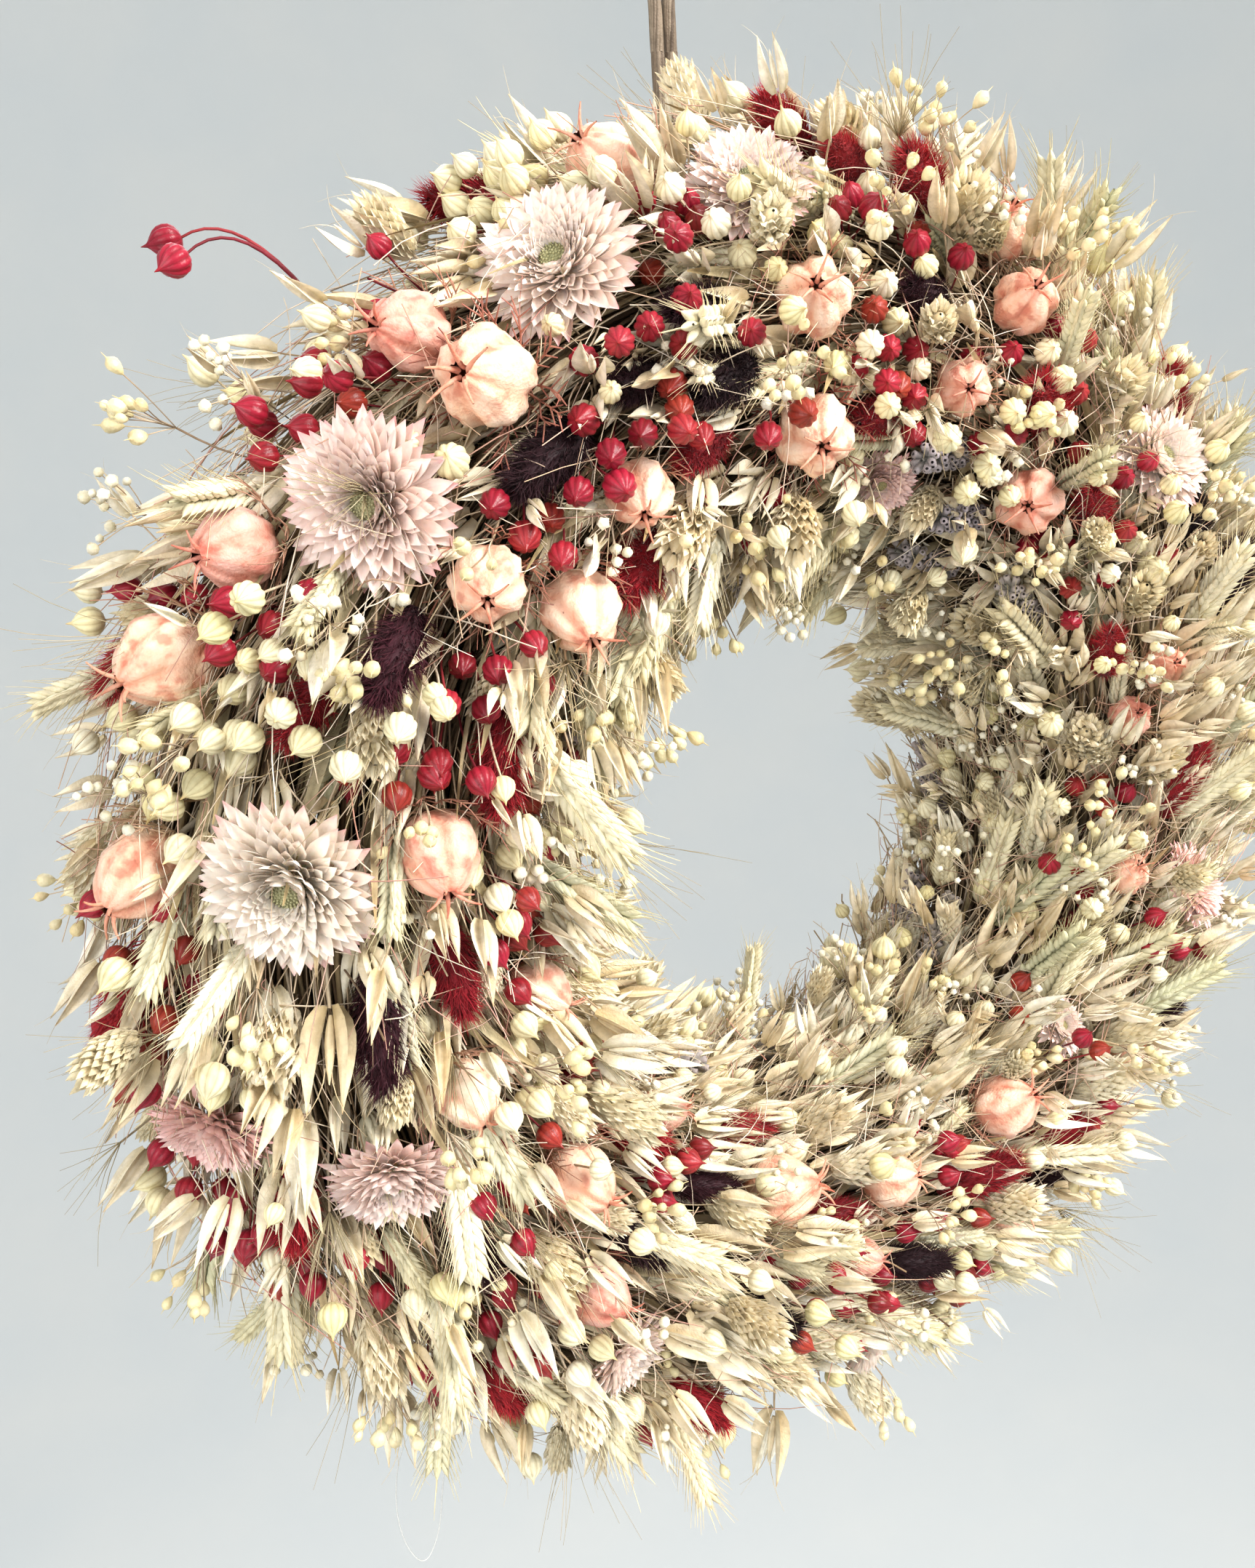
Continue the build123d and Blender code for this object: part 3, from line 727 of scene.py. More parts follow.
def canary_shape(rng):
    """A plump head of overlapping papery scales. Unit length, radius 0.26."""
    parts = [lathe(np.linspace(0, 0.9, 6), [0.05, 0.14, 0.17, 0.16, 0.12, 0.02], 8).marked(0, 0.2)]
    count = 120
    for k in range(count):
        s = (k + 0.5 + rng.normal()) / count
        rad = 0.19 * math.sin(math.pi * min(max(0.07 + 0.86 * s, 0.05), 0.95)) ** 0.6
        scale = leaf(0.25 * (1 + 0.12 * rng.normal()), 0.115, -0.9, -0.12, 5, 5, 0.85)
        lean = math.radians(75 + 9 * rng.normal() - 6 * s)
        scale = scale.moved(turn_y(-lean), (rad, 0, 0.85 * s - 0.03))
        parts.append(scale.moved(turn_z(k * GOLDEN)).marked(0.2, 1))
    return joined(parts)


def oat_shape(rng):
    """An oat spikelet: two long papery glumes, the grains between, and bent awns. Unit length."""
    parts = []
    for side in (0, math.pi):
        glume = leaf(0.97, 0.21, -1.5, 0.02 + 0.02 * rng.random(), 8, 7, 0.62)
        glume = glume.moved(turn_y(-math.radians(84 - 7 * rng.random())), (0.02, 0, 0))
        parts.append(glume.moved(turn_z(side)))
    parts.append(husk(0.62, 0.05).moved(None, (0.01, 0, 0.08)).marked(0.2, 0.5))
    s = np.linspace(0, 1, 6)
    for side in (-1, 1):
        points = np.stack([side * (0.03 + 0.35 * s**2), 0.04 * s, 0.55 + 0.62 * s], -1)
        parts.append(tube_shape(points, 0.008 * (1 - 0.8 * s), 3).marked(0.9, 1))
    return joined(parts)


def lavender_shape(rng):
    """A spike of small calyces in whorls. Unit length, radius 0.105."""
    s = np.linspace(0, 1, 5)
    parts = [tube_shape(np.stack([0 * s, 0 * s, 0.95 * s], -1), 0.014 + 0 * s, 4).marked(0, 0.05)]
    for whorl in range(10):
        high = 0.03 + 0.088 * whorl
        for k in range(7):
            calyx = lathe([0, 0.04, 0.09, 0.125, 0.13], [0.012, 0.026, 0.027, 0.031, 0.012], 6)
            calyx = calyx.moved(turn_y(0.65 + 0.12 * rng.normal()), (0.018, 0, high + 0.012 * rng.normal()))
            parts.append(calyx.moved(turn_z((k + 0.5 * (whorl % 2)) * TAU / 7 + 0.1 * rng.normal())))
    return joined(parts)


def ball_shape(rng):
    """A tiny double flower. Unit radius."""
    t = np.linspace(0, 1, 6)
    ball = lathe(
        1 - np.cos(math.pi * t), np.sin(math.pi * t) + 0.02, 10, lambda a, s: 0.2 * np.cos(5 * a + 7 * s))
    parts = [ball.marked(0, 0.8)]
    for k in range(9):
        petal = leaf(0.8, 0.75, 0.6, 0.2, 3, 3).moved(turn_y(-0.5 - 0.12 * k), (0.25, 0, 0.5 + 0.1 * k))
        parts.append(petal.moved(turn_z(k * GOLDEN)).marked(0.6, 1))
    return joined(parts)


def teardrop_shape(rng):
    """A thin-walled pear-shaped pod with a keel and a fine beak. Unit length."""
    z = np.array([0, 0.08, 0.22, 0.42, 0.62, 0.78, 0.88, 0.95, 1.25])
    r = np.array([0.02, 0.1, 0.2, 0.29, 0.32, 0.26, 0.12, 0.03, 0.008])
    return lathe(z, r, 12, lambda a, t: 0.13 * np.abs(np.cos(a)) ** 6)


# ---------------------------------------------------------------- colours
# The stem materials' lengthwise ramps are darker at the base, the end deep in the bundle: painted shade
# there.
stem_material = tinted(
    "dry_stems",
    [(222, 202, 172), (236, 220, 196), (204, 182, 152), (150, 124, 98), (240, 226, 206), (204, 192, 164),
     (112, 86, 66), (228, 206, 178)],
    [(0.0, (196, 188, 176)), (0.5, (255, 255, 255)), (1.0, (232, 220, 200))],
    scale=1500.0, depth=0.6,
)
fine_material = tinted(
    "fine_stems",
    [(246, 234, 216), (236, 216, 190), (250, 242, 230), (224, 198, 168), (206, 150, 138), (240, 224, 204)],
    [(0.0, (220, 210, 190)), (0.5, (255, 255, 255)), (1.0, (250, 244, 235))],
    scale=1500.0, depth=0.4,
)
red_stem_material = tinted(
    "red_stems",
    [(136, 34, 46), (112, 26, 40), (156, 50, 54), (124, 40, 40)],
    [(0.0, (180, 160, 140)), (0.5, (255, 255, 255)), (1.0, (235, 220, 215))],
    scale=1500.0, depth=0.5,
)
mat_material = tinted(
    "matted_stems",
    [(122, 100, 74), (168, 146, 112), (94, 74, 56), (152, 134, 102), (186, 166, 130), (134, 110, 82),
     (98, 76, 58)],
    [(0.0, (120, 110, 100)), (0.5, (255, 255, 255)), (1.0, (200, 190, 175))],
    scale=1200.0, depth=0.8,
)
blade_material = tinted(
    "grass_blades",
    [(228, 210, 176), (242, 224, 194), (208, 192, 156), (246, 230, 204), (232, 206, 168), (206, 190, 158)],
    [(0.0, (210, 205, 190)), (0.6, (255, 255, 255)), (1.0, (225, 205, 170))],
    [(0.0, (225, 225, 215)), (0.5, (170, 170, 150)), (1.0, (240, 240, 230))],
    scale=1600.0, through=0.1,
)
petal_material = tinted(
    "straw_petals",
    [(255, 246, 238), (255, 236, 230), (255, 246, 236), (255, 222, 216), (255, 242, 234), (252, 204, 202),
     (255, 238, 232)],
    [(0.0, (248, 244, 226)), (0.3, (255, 255, 252)), (0.8, (255, 252, 250)), (1.0, (250, 186, 194))],
    [(0.0, (248, 244, 240)), (0.5, (255, 255, 255)), (1.0, (248, 244, 240))],
    [(0.3, (236, 232, 230)), (0.6, (255, 255, 255))],
    scale=1400.0, low=0.35, high=0.6, depth=0.25, through=0.35,
)
button_material = tinted(
    "flower_centres",
    [(196, 200, 164), (214, 208, 166), (186, 192, 160), (206, 204, 170)],
    [(0.0, (120, 110, 84)), (0.6, (220, 214, 190)), (1.0, (255, 250, 226))],
    scale=2200.0, depth=0.8,
)
balloon_material = tinted(
    "balloon_pods",
    [(244, 214, 194), (236, 198, 184), (248, 224, 204), (240, 208, 190), (248, 234, 216), (230, 184, 174),
     (242, 212, 192)],
    [(0.0, (224, 216, 186)), (0.25, (255, 254, 248)), (0.7, (255, 244, 238)), (0.82, (236, 186, 172)),
     (1.0, (214, 160, 140))],
    [(0.0, (226, 176, 160)), (0.08, (236, 194, 178)), (0.24, (252, 244, 238)), (0.62, (255, 255, 255)),
     (0.88, (252, 238, 230)), (1.0, (240, 208, 196))],
    [(0.36, (214, 150, 136)), (0.47, (250, 232, 222)), (0.6, (255, 255, 255))],
    scale=1300.0, low=0.35, high=0.6, depth=0.8, through=0.15,
)
bract_material = tinted(
    "pod_bracts",
    [(222, 190, 164), (200, 138, 126), (230, 208, 182), (184, 110, 104), (210, 166, 146)],
    [(0.0, (220, 214, 190)), (1.0, (205, 170, 160))],
    scale=1700.0,
)
red_tail_material = tinted(
    "red_tails",
    [(178, 26, 46), (196, 44, 56), (158, 20, 38), (206, 70, 76), (186, 34, 50), (146, 16, 36)],
    [(0.0, (150, 120, 100)), (0.4, (190, 170, 170)), (1.0, (255, 225, 215))],
    scale=1600.0, sheen=0.15, high=0.9, depth=0.3,
)
dark_tail_material = tinted(
    "dark_tails",
    [(50, 16, 28), (34, 12, 20), (72, 22, 38), (42, 18, 26), (60, 18, 32)],
    [(0.0, (140, 130, 120)), (0.4, (190, 180, 180)), (1.0, (255, 225, 225))],
    scale=1600.0, sheen=0.05, high=0.9, depth=0.3,
)
red_flax_material = tinted(
    "red_flax",
    [(158, 30, 54), (134, 22, 44), (176, 44, 64), (146, 34, 46), (168, 36, 62), (158, 62, 46), (120, 18, 38)],
    [(0.0, (150, 140, 90)), (0.11, (170, 150, 110)), (0.14, (255, 238, 230)), (0.8, (255, 245, 240)),
     (1.0, (225, 200, 150))],
    # crosswise: painted shade, darkest in the grooves between the ribs
    [(0.0, (150, 110, 110)), (0.35, (235, 220, 220)), (1.0, (255, 255, 255))],
    scale=1500.0, low=0.28, high=0.45, depth=0.3,
)
cream_flax_material = tinted(
    "cream_flax",
    [(242, 238, 206), (246, 244, 222), (238, 232, 182), (244, 240, 212), (240, 234, 194), (248, 246, 230)],
    [(0.0, (160, 150, 110)), (0.11, (190, 175, 130)), (0.14, (250, 245, 235)), (0.8, (255, 252, 245)),
     (1.0, (225, 195, 150))],
    # crosswise: painted shade, darkest in the grooves between the ribs
    [(0.0, (190, 175, 150)), (0.35, (248, 242, 232)), (1.0, (255, 255, 255))],
    scale=1500.0, low=0.3, high=0.55, depth=0.3,
)
wheat_material = tinted(
    "wheat",
    [(240, 234, 210), (226, 220, 190), (248, 242, 222), (208, 208, 178), (242, 230, 202)],
    [(0.0, (200, 198, 174)), (0.5, (255, 255, 252)), (1.0, (240, 226, 194))],
    scale=1600.0, low=0.4, high=0.7,
)
canary_material = tinted(
    "canary_grass",
    [(250, 242, 220), (244, 232, 206), (254, 248, 230), (236, 226, 198), (248, 236, 210)],
    [(0.0, (206, 196, 172)), (0.25, (240, 236, 226)), (0.7, (255, 255, 252)), (1.0, (250, 242, 228))],
    [(0.0, (248, 242, 232)), (0.3, (255, 255, 252)), (0.5, (240, 232, 214)), (0.7, (255, 255, 252)),
     (1.0, (248, 242, 232))],
    scale=1600.0, through=0.12,
)
oat_material = tinted(
    "oat_husks",
    [(253, 246, 230), (247, 235, 212), (255, 251, 240), (238, 220, 188), (252, 242, 222)],
    [(0.0, (212, 202, 172)), (0.35, (252, 250, 244)), (0.85, (255, 254, 250)), (1.0, (220, 202, 172))],
    [(0.0, (222, 218, 206)), (0.2, (255, 254, 251)), (0.35, (226, 220, 204)), (0.5, (255, 255, 252)),
     (0.65, (226, 220, 204)), (0.8, (255, 254, 251)), (1.0, (222, 218, 206))],
    scale=1700.0, low=0.35, high=0.6, through=0.15,
)
lavender_material = tinted(
    "lavender",
    [(178, 170, 166), (160, 154, 156), (192, 184, 176), (168, 162, 152), (180, 170, 168)],
    [(0.0, (170, 175, 150)), (0.5, (230, 226, 226)), (1.0, (255, 245, 255))],
    scale=1800.0, sheen=0.2,
)
ball_material = tinted(
    "small_white_flowers",
    [(246, 240, 224), (238, 230, 206), (252, 248, 236), (240, 226, 200)],
    [(0.0, (200, 195, 160)), (0.5, (248, 246, 238)), (1.0, (255, 255, 255))],
    scale=1800.0, through=0.1,
)
teardrop_material = tinted(
    "teardrop_pods",
    [(238, 230, 196), (228, 220, 184), (244, 236, 208), (234, 220, 180)],
    [(0.0, (200, 190, 150)), (0.4, (250, 246, 230)), (1.0, (226, 206, 160))],
    scale=1500.0, low=0.3, high=0.5, through=0.15,
)
bast_material = tinted(
    "bast",
    [(118, 104, 90), (140, 126, 110), (98, 84, 72), (156, 142, 124), (126, 110, 94)],
    [(0.0, (235, 230, 225)), (0.5, (255, 255, 255)), (1.0, (235, 230, 225))],
    scale=1800.0, depth=0.8,
)
straw_material = tinted(
    "straw",
    [(206, 182, 122), (188, 162, 100), (222, 202, 148), (170, 144, 90), (212, 190, 132)],
    [(0.0, (190, 175, 150)), (0.5, (255, 255, 255)), (1.0, (215, 200, 175))],
    scale=1200.0, low=0.3, high=0.6,
)


# ---------------------------------------------------------------- cords
def spline_of(name, points):
    """A smooth open line with these control points."""
    data = bpy.data.curves.new(name, "CURVE")
    data.dimensions = "3D"
    data.resolution_u = 12
    spline = data.splines.new("NURBS")
    spline.points.add(len(points) - 1)
    for point, place in zip(spline.points, points):
        point.co = (*[v * MM for v in place], 1)
    spline.order_u = 3
    spline.use_endpoint_u = True
    made = bpy.data.objects.new(name, data)
    bpy.context.scene.collection.objects.link(made)
    return made


def read_line(name, points):
    """The points that the line runs through, read from it."""
    made = spline_of(name, points)
    bpy.context.view_layer.update()
    mesh = bpy.data.meshes.new_from_object(made)
    line = np.array([v.co for v in mesh.vertices], float)
    bpy.data.objects.remove(made)
    return line


def bast_cord(name, line, diameter, rng, fibres=15, twist=2.2):
    """A loose twist of bast fibres: a thick one along the line, and a layer of thin ones round it."""
    core, layer, thin = 0.62, 0.62, 0.28  # as shares of the cord's radius
    heap = Heap()
    run = np.concatenate([[0], np.cumsum(np.linalg.norm(np.diff(line, axis=0), axis=1))])
    way = unit(np.gradient(line, axis=0))
    hint = np.array([1.0, 0, 0]) if np.all(np.abs(way[:, 0]) < 0.95) else np.array([0, 1.0, 0])
    n = unit(hint - (way @ hint)[:, None] * way)
    b = np.cross(way, n)
    size = diameter / 2
    paths, thick = [], []
    for f in range(fibres):
        angle = f * TAU / max(fibres - 1, 1) + twist * run / 0.05 + 0.25 * np.sin(run / 0.011 + f)
        reach = size * (layer + 0.06 * np.sin(run / 0.007 + 2.1 * f))
        paths.append(line + reach[:, None] * (np.cos(angle)[:, None] * n + np.sin(angle)[:, None] * b)
                     if f else line)
        thick.append(np.full(len(line), size * (thin if f else core)))
    co, uv, quads = tubes(np.array(paths), np.array(thick), 6)
    heap.put(co, slots_of(tints_for(rng, fibres), uv), [quads])
    return heap.piece(name, bast_material, body=None, slot="bast_cord")


# The cords' points are in millimetres, as the CAD's are
rng = np.random.default_rng(41)
strand_x = 2.15  # half the distance between the two strands
cord_thick = 4
hanger_points = [
    (-strand_x, 0, -36), (-strand_x, 0, -30), (-strand_x, 0, -24), (-3.2, 0, -14), (-5.4, 0, -6.5),
    (-5.8, 0, 0.4), (-2.4, 0, 2.6), (2.4, 0, 2.6), (5.8, 0, 0.4), (5.4, 0, -6.5), (3.2, 0, -14),
    (strand_x, 0, -24), (strand_x, 0, -30), (strand_x, 0, -36),
]
hanger_line = read_line("hanger_line", hanger_points)
wrap_z, wrap_radius = -114, 16.3  # the turn round the straw ring
wrap_start, wrap_step, wrap_ease = -320, 32, 1.045  # the points between the ends stand out a little
wrap_points = []
for degrees in range(wrap_start, 1, wrap_step):
    a = math.radians(degrees)
    reach = wrap_radius * (wrap_ease if wrap_start < degrees < 0 else 1.0)
    wrap_points.append((-wrap_radius + reach * math.cos(a), wrap_z + reach * math.sin(a)))


def tail_points(side):
    """Up from the end of its turn round the ring to the bend above the foliage."""
    points = [(side * strand_x, y, z) for y, z in wrap_points]
    return points + [(side * strand_x, 0, z) for z in (-102, -88, -74, -60, -47, -36)]


upper = bast_cord("hanger_loop", hanger_line, cord_thick * MM, rng)
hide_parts("hanger_eye", "hanger_legs")
lowers = []
for side, name in ((-1, "hanger_strand_left"), (1, "hanger_strand_right")):
    line = read_line(name + "_line", tail_points(side))
    lowers.append((bast_cord(name, line, cord_thick * MM, rng), line))
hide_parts("hanger_tails")

thread_route = [
    (-112, -30, -382), (-126, -31, -393), (-138, -31, -406), (-142, -32, -424), (-141, -33, -439),
    (-136, -33, -450), (-130, -33, -440), (-127, -32, -425), (-123, -31, -411), (-113, -30, -398),
    (-103, -30, -387),
]
thread = spline_of("thread_loop_line", thread_route)
thread.data.bevel_depth = 0.2 * MM
thread.data.bevel_resolution = 3
thread.name = "clear_thread_loop"
clear, tree, shader = nodes_of("clear_thread")
grain = noise(tree, 2500.0)
cloudy = ramp(tree, grain, [(0.3, (206, 208, 206)), (0.7, (232, 232, 228))])
tree.links.new(cloudy, shader.inputs["Base Color"])
shader.inputs["Alpha"].default_value = 0.75
rough_and_bump(tree, shader, grain, 0.12, 0.3, 0.1)
thread.data.materials.append(clear)
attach(thread, "wreath")
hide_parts("thread_loop")

PLANTS_TOP = -0.036  # the foliage ends below this; only the hanger is higher
high_limit[2] = PLANTS_TOP

# The knot: thin bast wound round both strands
knot_middle, knot_half = -88.0, 3.9
turns = 7.0
lace = 0.42  # its radius
clear_of_cord = 0.45
s = np.linspace(0, 1, 260)
angle = s * turns * TAU
half_long = (2 * strand_x + cord_thick) / 2 + clear_of_cord
half_short = cord_thick / 2 + clear_of_cord
wobble = 1 + 0.02 * np.sin(5.3 * angle)
knot_line = np.stack([
    np.sign(np.cos(angle)) * np.abs(np.cos(angle)) ** 0.75 * half_long * wobble,
    np.sin(angle) * half_short * wobble,
    knot_middle - knot_half + 2 * knot_half * s,
], -1) * MM
knot_heap = Heap()
for shift in (-0.22, 0.0, 0.22):
    strand = knot_line + np.array([0, 0, shift * MM])
    knot_heap.strands(strand[None], np.full(len(s), lace * MM), tints_for(rng, 1), 5)
end_points = arc_points(np.array([[3.6, -1.6, -84.5], [-3.4, -2.2, -91.5]]) * MM,
                        np.array([[0.5, -0.7, 0.4], [-0.4, -0.7, -0.6]]),
                        np.array([[0.2, 0.1, -0.5], [-0.1, 0.1, -0.4]]), np.array([9, 7]) * MM, 8)
knot_heap.strands(end_points, np.linspace(lace, 0.15, 8) * MM, tints_for(rng, 2), 5)
knot = knot_heap.piece("hanger_knot_wrap", bast_material, slot="bast_cord", nodes=["hanger_knot"])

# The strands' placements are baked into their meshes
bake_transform(upper)
for piece, line in lowers:
    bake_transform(piece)

# ---------------------------------------------------------------- straw ring, threads and wire
rng = np.random.default_rng(5)
straw_heap = Heap()
count = STRAW_STALKS
f = rng.uniform(0, TAU, count)
start = rng.uniform(0, 360, count)
span = rng.uniform(30, 62, count)
lag = rng.uniform(-0.25, 0.25, count)
t = np.linspace(0, 1, 10)[None]
angle = f[:, None] + lag[:, None] * t
depth = (STRAW - rng.uniform(0.0009, 0.0035, count))[:, None]
clock = start[:, None] + span[:, None] * t
points = outward(clock) * (RING + depth * np.cos(angle))[..., None]
points[..., 1] = STRAW_Y + depth * np.sin(angle)
points[..., 2] += MIDDLE_Z
straw_heap.strands(points, np.full(10, 0.9 * MM), tints_for(rng, count), 5)
straw_heap.piece("straw_ring_stalks", straw_material, slot="straw", nodes=["straw_ring"])

binding = overall("binding_thread", (150, 128, 92), (196, 176, 132), 2600.0, (1, 1, 6), depth=0.8)
wire = overall("winding_wire", (92, 96, 90), (140, 142, 134), 1800.0, low=0.25, high=0.5, metal=0.8,
               depth=0.2)
for node, material in (("straw_binding", binding), ("winding_wire", wire)):
    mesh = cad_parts[node].data
    mesh.materials.clear()
    mesh.materials.append(material)

# ---------------------------------------------------------------- the bunches
for number in range(BUNCHES):
    rng = np.random.default_rng(100 + number)
    heap = Heap()
    first = number * 360 / BUNCHES
    # matted stalks round the ring, at every depth
    count = MAT_STALKS
    depth = rng.uniform(0.42, 0.98, count)
    heap.strands(
        flow(first + rng.uniform(6, 34, count), rng.uniform(-62, 242, count), depth,
             np.minimum(depth + 0.1, 1.02), rng.uniform(16, 34, count), rng.uniform(-9, 9, count), 7),
        rng.uniform(0.0005, 0.00105, count)[:, None] * np.linspace(1, 0.7, 7)[None],
        tints_for(rng, count), 4,
    )
    heap.piece(f"bunch_mat_{number + 1:02d}", mat_material, slot="dry_stems",
               nodes=[f"bunch_{number + 1:02d}"])

rng = np.random.default_rng(300)
stem_heap = Heap()
count = LOOSE_STEMS
stem_heap.strands(
    flow(rng.uniform(0, 360, count), rng.uniform(-42, 218, count), rng.uniform(0.75, 1.0, count),
         rng.uniform(1.05, 1.34, count), rng.uniform(9, 26, count), rng.uniform(-12, 12, count), 7),
    rng.uniform(0.00022, 0.00052, count)[:, None] * np.linspace(1, 0.45, 7)[None],
    tints_for(rng, count), 3,
)
stem_heap.piece("loose_stems", stem_material, slot="dry_stems")

fine_heap = Heap()
count = FINE_STEMS
fine_heap.strands(
    flow(rng.uniform(0, 360, count), rng.uniform(-30, 212, count), rng.uniform(1.0, 1.3, count),
         rng.uniform(1.2, 1.52, count), rng.uniform(-6, 22, count), rng.uniform(-30, 30, count), 7)
    + 0.0025 * np.sin(np.linspace(0, 1, 7)[None, :, None] * rng.uniform(2, 7, (count, 1, 1)))
    * random_way(rng, count)[:, None],
    rng.uniform(0.00012, 0.00026, count)[:, None] * np.linspace(1, 0.6, 7)[None],
    tints_for(rng, count), 3,
)
fine_heap.piece("fine_stems", fine_material, slot="dry_stems")

blade_heap = Heap()
count = BLADES
clock = rng.uniform(0, 360, count)
across = rng.uniform(-40, 215, count)
blade_heap.blades(
    flow(clock, across, rng.uniform(0.85, 1.05, count), rng.uniform(1.1, 1.5, count),
         rng.uniform(10, 24, count), rng.uniform(-14, 14, count), 9),
    0.0026 * np.sin(math.pi * np.linspace(0.12, 0.98, 9)) ** 0.7,
    unit(normal(clock, across) + 0.6 * random_way(rng, count)),
    tints_for(rng, count),
)
blade_heap.piece("grass_blades", blade_material, slot="dry_stems")


# ---------------------------------------------------------------- heads that the CAD places
head_stems = Heap()
red_stems = Heap()


def stems_to(rng, foot, base, thick, heap=head_stems):
    """A slightly bent stem from inside the bundle to each head."""
    m = len(foot)
    t = np.linspace(0, 1, 6)[None, :, None]
    bow = 0.06 * random_way(rng, m) * np.linalg.norm(base - foot, axis=1)[:, None]
    points = foot[:, None] + (base - foot)[:, None] * t + bow[:, None] * np.sin(math.pi * t)
    heap.strands(points, np.full(6, thick), tints_for(rng, m), 4)


def plant(name, node, kind, shapes, material, slot, seed, stem, unit_of, length=None, share=1.0, extra=()):
    """Stands a detailed head on each of a node's solids. extra is more (base, way, size) to add."""
    rng = np.random.default_rng(seed)
    foot, base, way, radius, tall, _ = heads(node, kind, length)
    variants = [shapes(rng) for _ in range(4)]
    size = share * (radius if unit_of == "radius" else tall)
    stems_to(rng, foot, base + way * 0.0004, stem, red_stems if node == "red_flax_pods" else head_stems)
    heap = Heap()
    m = len(base)
    kinds = rng.integers(0, len(variants), m)
    tints = tints_for(rng, m)
    tilt = unit(way + 0.14 * random_way(rng, m))
    heap.stand_mixed(variants, kinds, base, tilt, size, tints, rng.uniform(0, TAU, m))
    for more_base, more_way, more_size in extra:
        m = len(more_base)
        kinds = rng.integers(0, len(variants), m)
        tints = tints_for(rng, m)
        heap.stand_mixed(variants, kinds, more_base, more_way, more_size, tints, rng.uniform(0, TAU, m))
    heap.piece(name, material, slot=slot, nodes=[node])
    return base, way, radius


def keep_outs():
    """The fronts of the big flowers and pods, which nothing small covers."""
    spots = []
    for node, kind, share in (("strawflower_petals", "open", 0.95), ("nigella_pods", "round", 1.15)):
        _, base, way, radius, _, _ = heads(node, kind)
        for b, w, r in zip(base, way, radius):
            spots.append((b + w * r * 0.9, r * share))
            spots.append((b + w * r * 1.9, r * share * 0.8))
    return spots


BIG = keep_outs()


def uncovered(places):
    """Which of these places leave the big flowers and pods in view."""
    free = np.ones(len(places), bool)
    for middle, reach in BIG:
        free &= np.linalg.norm(places - middle, axis=1) > reach
    return free


def beside(node, seed, count, size):
    """More pods close beside some of a node's own."""
    rng = np.random.default_rng(seed)
    foot, base, way, _, _, _ = heads(node, "round")
    pick = rng.choice(len(base), count, replace=False)
    push = random_way(rng, count)
    push = unit(push - (push * way[pick]).sum(-1, keepdims=True) * way[pick])
    new = base[pick] + push * rng.uniform(0.0068, 0.0085, count)[:, None]
    new = new - way[pick] * rng.uniform(0, 0.006, count)[:, None]
    new_way = unit(way[pick] + 0.35 * push)
    stems_to(rng, foot[pick], new, 0.0003, red_stems if node == "red_flax_pods" else head_stems)
    return new, new_way, size * rng.uniform(0.85, 1.15, count)


def scattered(seed, count, across, lean, share, reach, size, stem, wander=0.45, wide=0.25):
    """More heads, spread over the wreath on stems of their own: base, way and size."""
    rng = np.random.default_rng(seed)
    k = np.arange(count)
    clock = 360 * ((CLOCK_STRIDE * k + rng.uniform(-0.01, 0.01, count) + 0.37 * seed) % 1)
    f = across[0] + (across[1] - across[0]) * ((ACROSS_STRIDE * k + rng.uniform(-0.02, 0.02, count)) % 1)
    way = leaning(rng, clock, f, np.full(count, float(lean)) + 12 * rng.normal(size=count), wander)
    foot = at(clock, f, np.full(count, share))
    long = reach * rng.uniform(0.6, 1.35, count)
    base = foot + way * long[:, None]
    free = uncovered(base + way * 0.5 * size)
    foot, base, way = foot[free], base[free], way[free]
    stems_to(rng, foot, base, stem)
    return base, way, size * rng.uniform(1 - wide, 1 + wide, len(base))


plant("strawflower_petal_rows", "strawflower_petals", "open", strawflower_shape, petal_material, "petal", 11,
      0.0012, "radius")
base, way, radius = plant(
    "nigella_balloons", "nigella_pods", "round", nigella_shape, balloon_material, "balloon_pod", 13, 0.0009,
    "radius", share=0.9)

# the ruffs of threads round the nigella pods
rng = np.random.default_rng(14)
ruffs = [bract_shape(rng) for _ in range(3)]
ruff_heap = Heap()
kinds = rng.integers(0, 3, len(base))
for k, shape in enumerate(ruffs):
    pick = kinds == k
    ruff_heap.stand(shape, base[pick], way[pick], radius[pick], tints_for(rng, pick.sum()),
                    rng.uniform(0, TAU, pick.sum()))
ruff_heap.piece("nigella_bracts", bract_material, slot="dry_stems")

# the strawflowers' centres sit in the middle of the petals
rng = np.random.default_rng(15)
_, flower_base, flower_way, flower_radius, _, _ = heads("strawflower_petals", "open")
button_heap = Heap()
for k in range(len(flower_base)):
    button = button_shape(rng)
    button_heap.stand(button, flower_base[k:k + 1] + flower_way[k:k + 1] * flower_radius[k] * 0.2,
                      flower_way[k:k + 1], flower_radius[k:k + 1] * 0.21, tints_for(rng, 1),
                      rng.uniform(0, TAU, 1))
button_heap.piece("strawflower_buttons", button_material, slot="flower_centre", nodes=["strawflower_centres"])

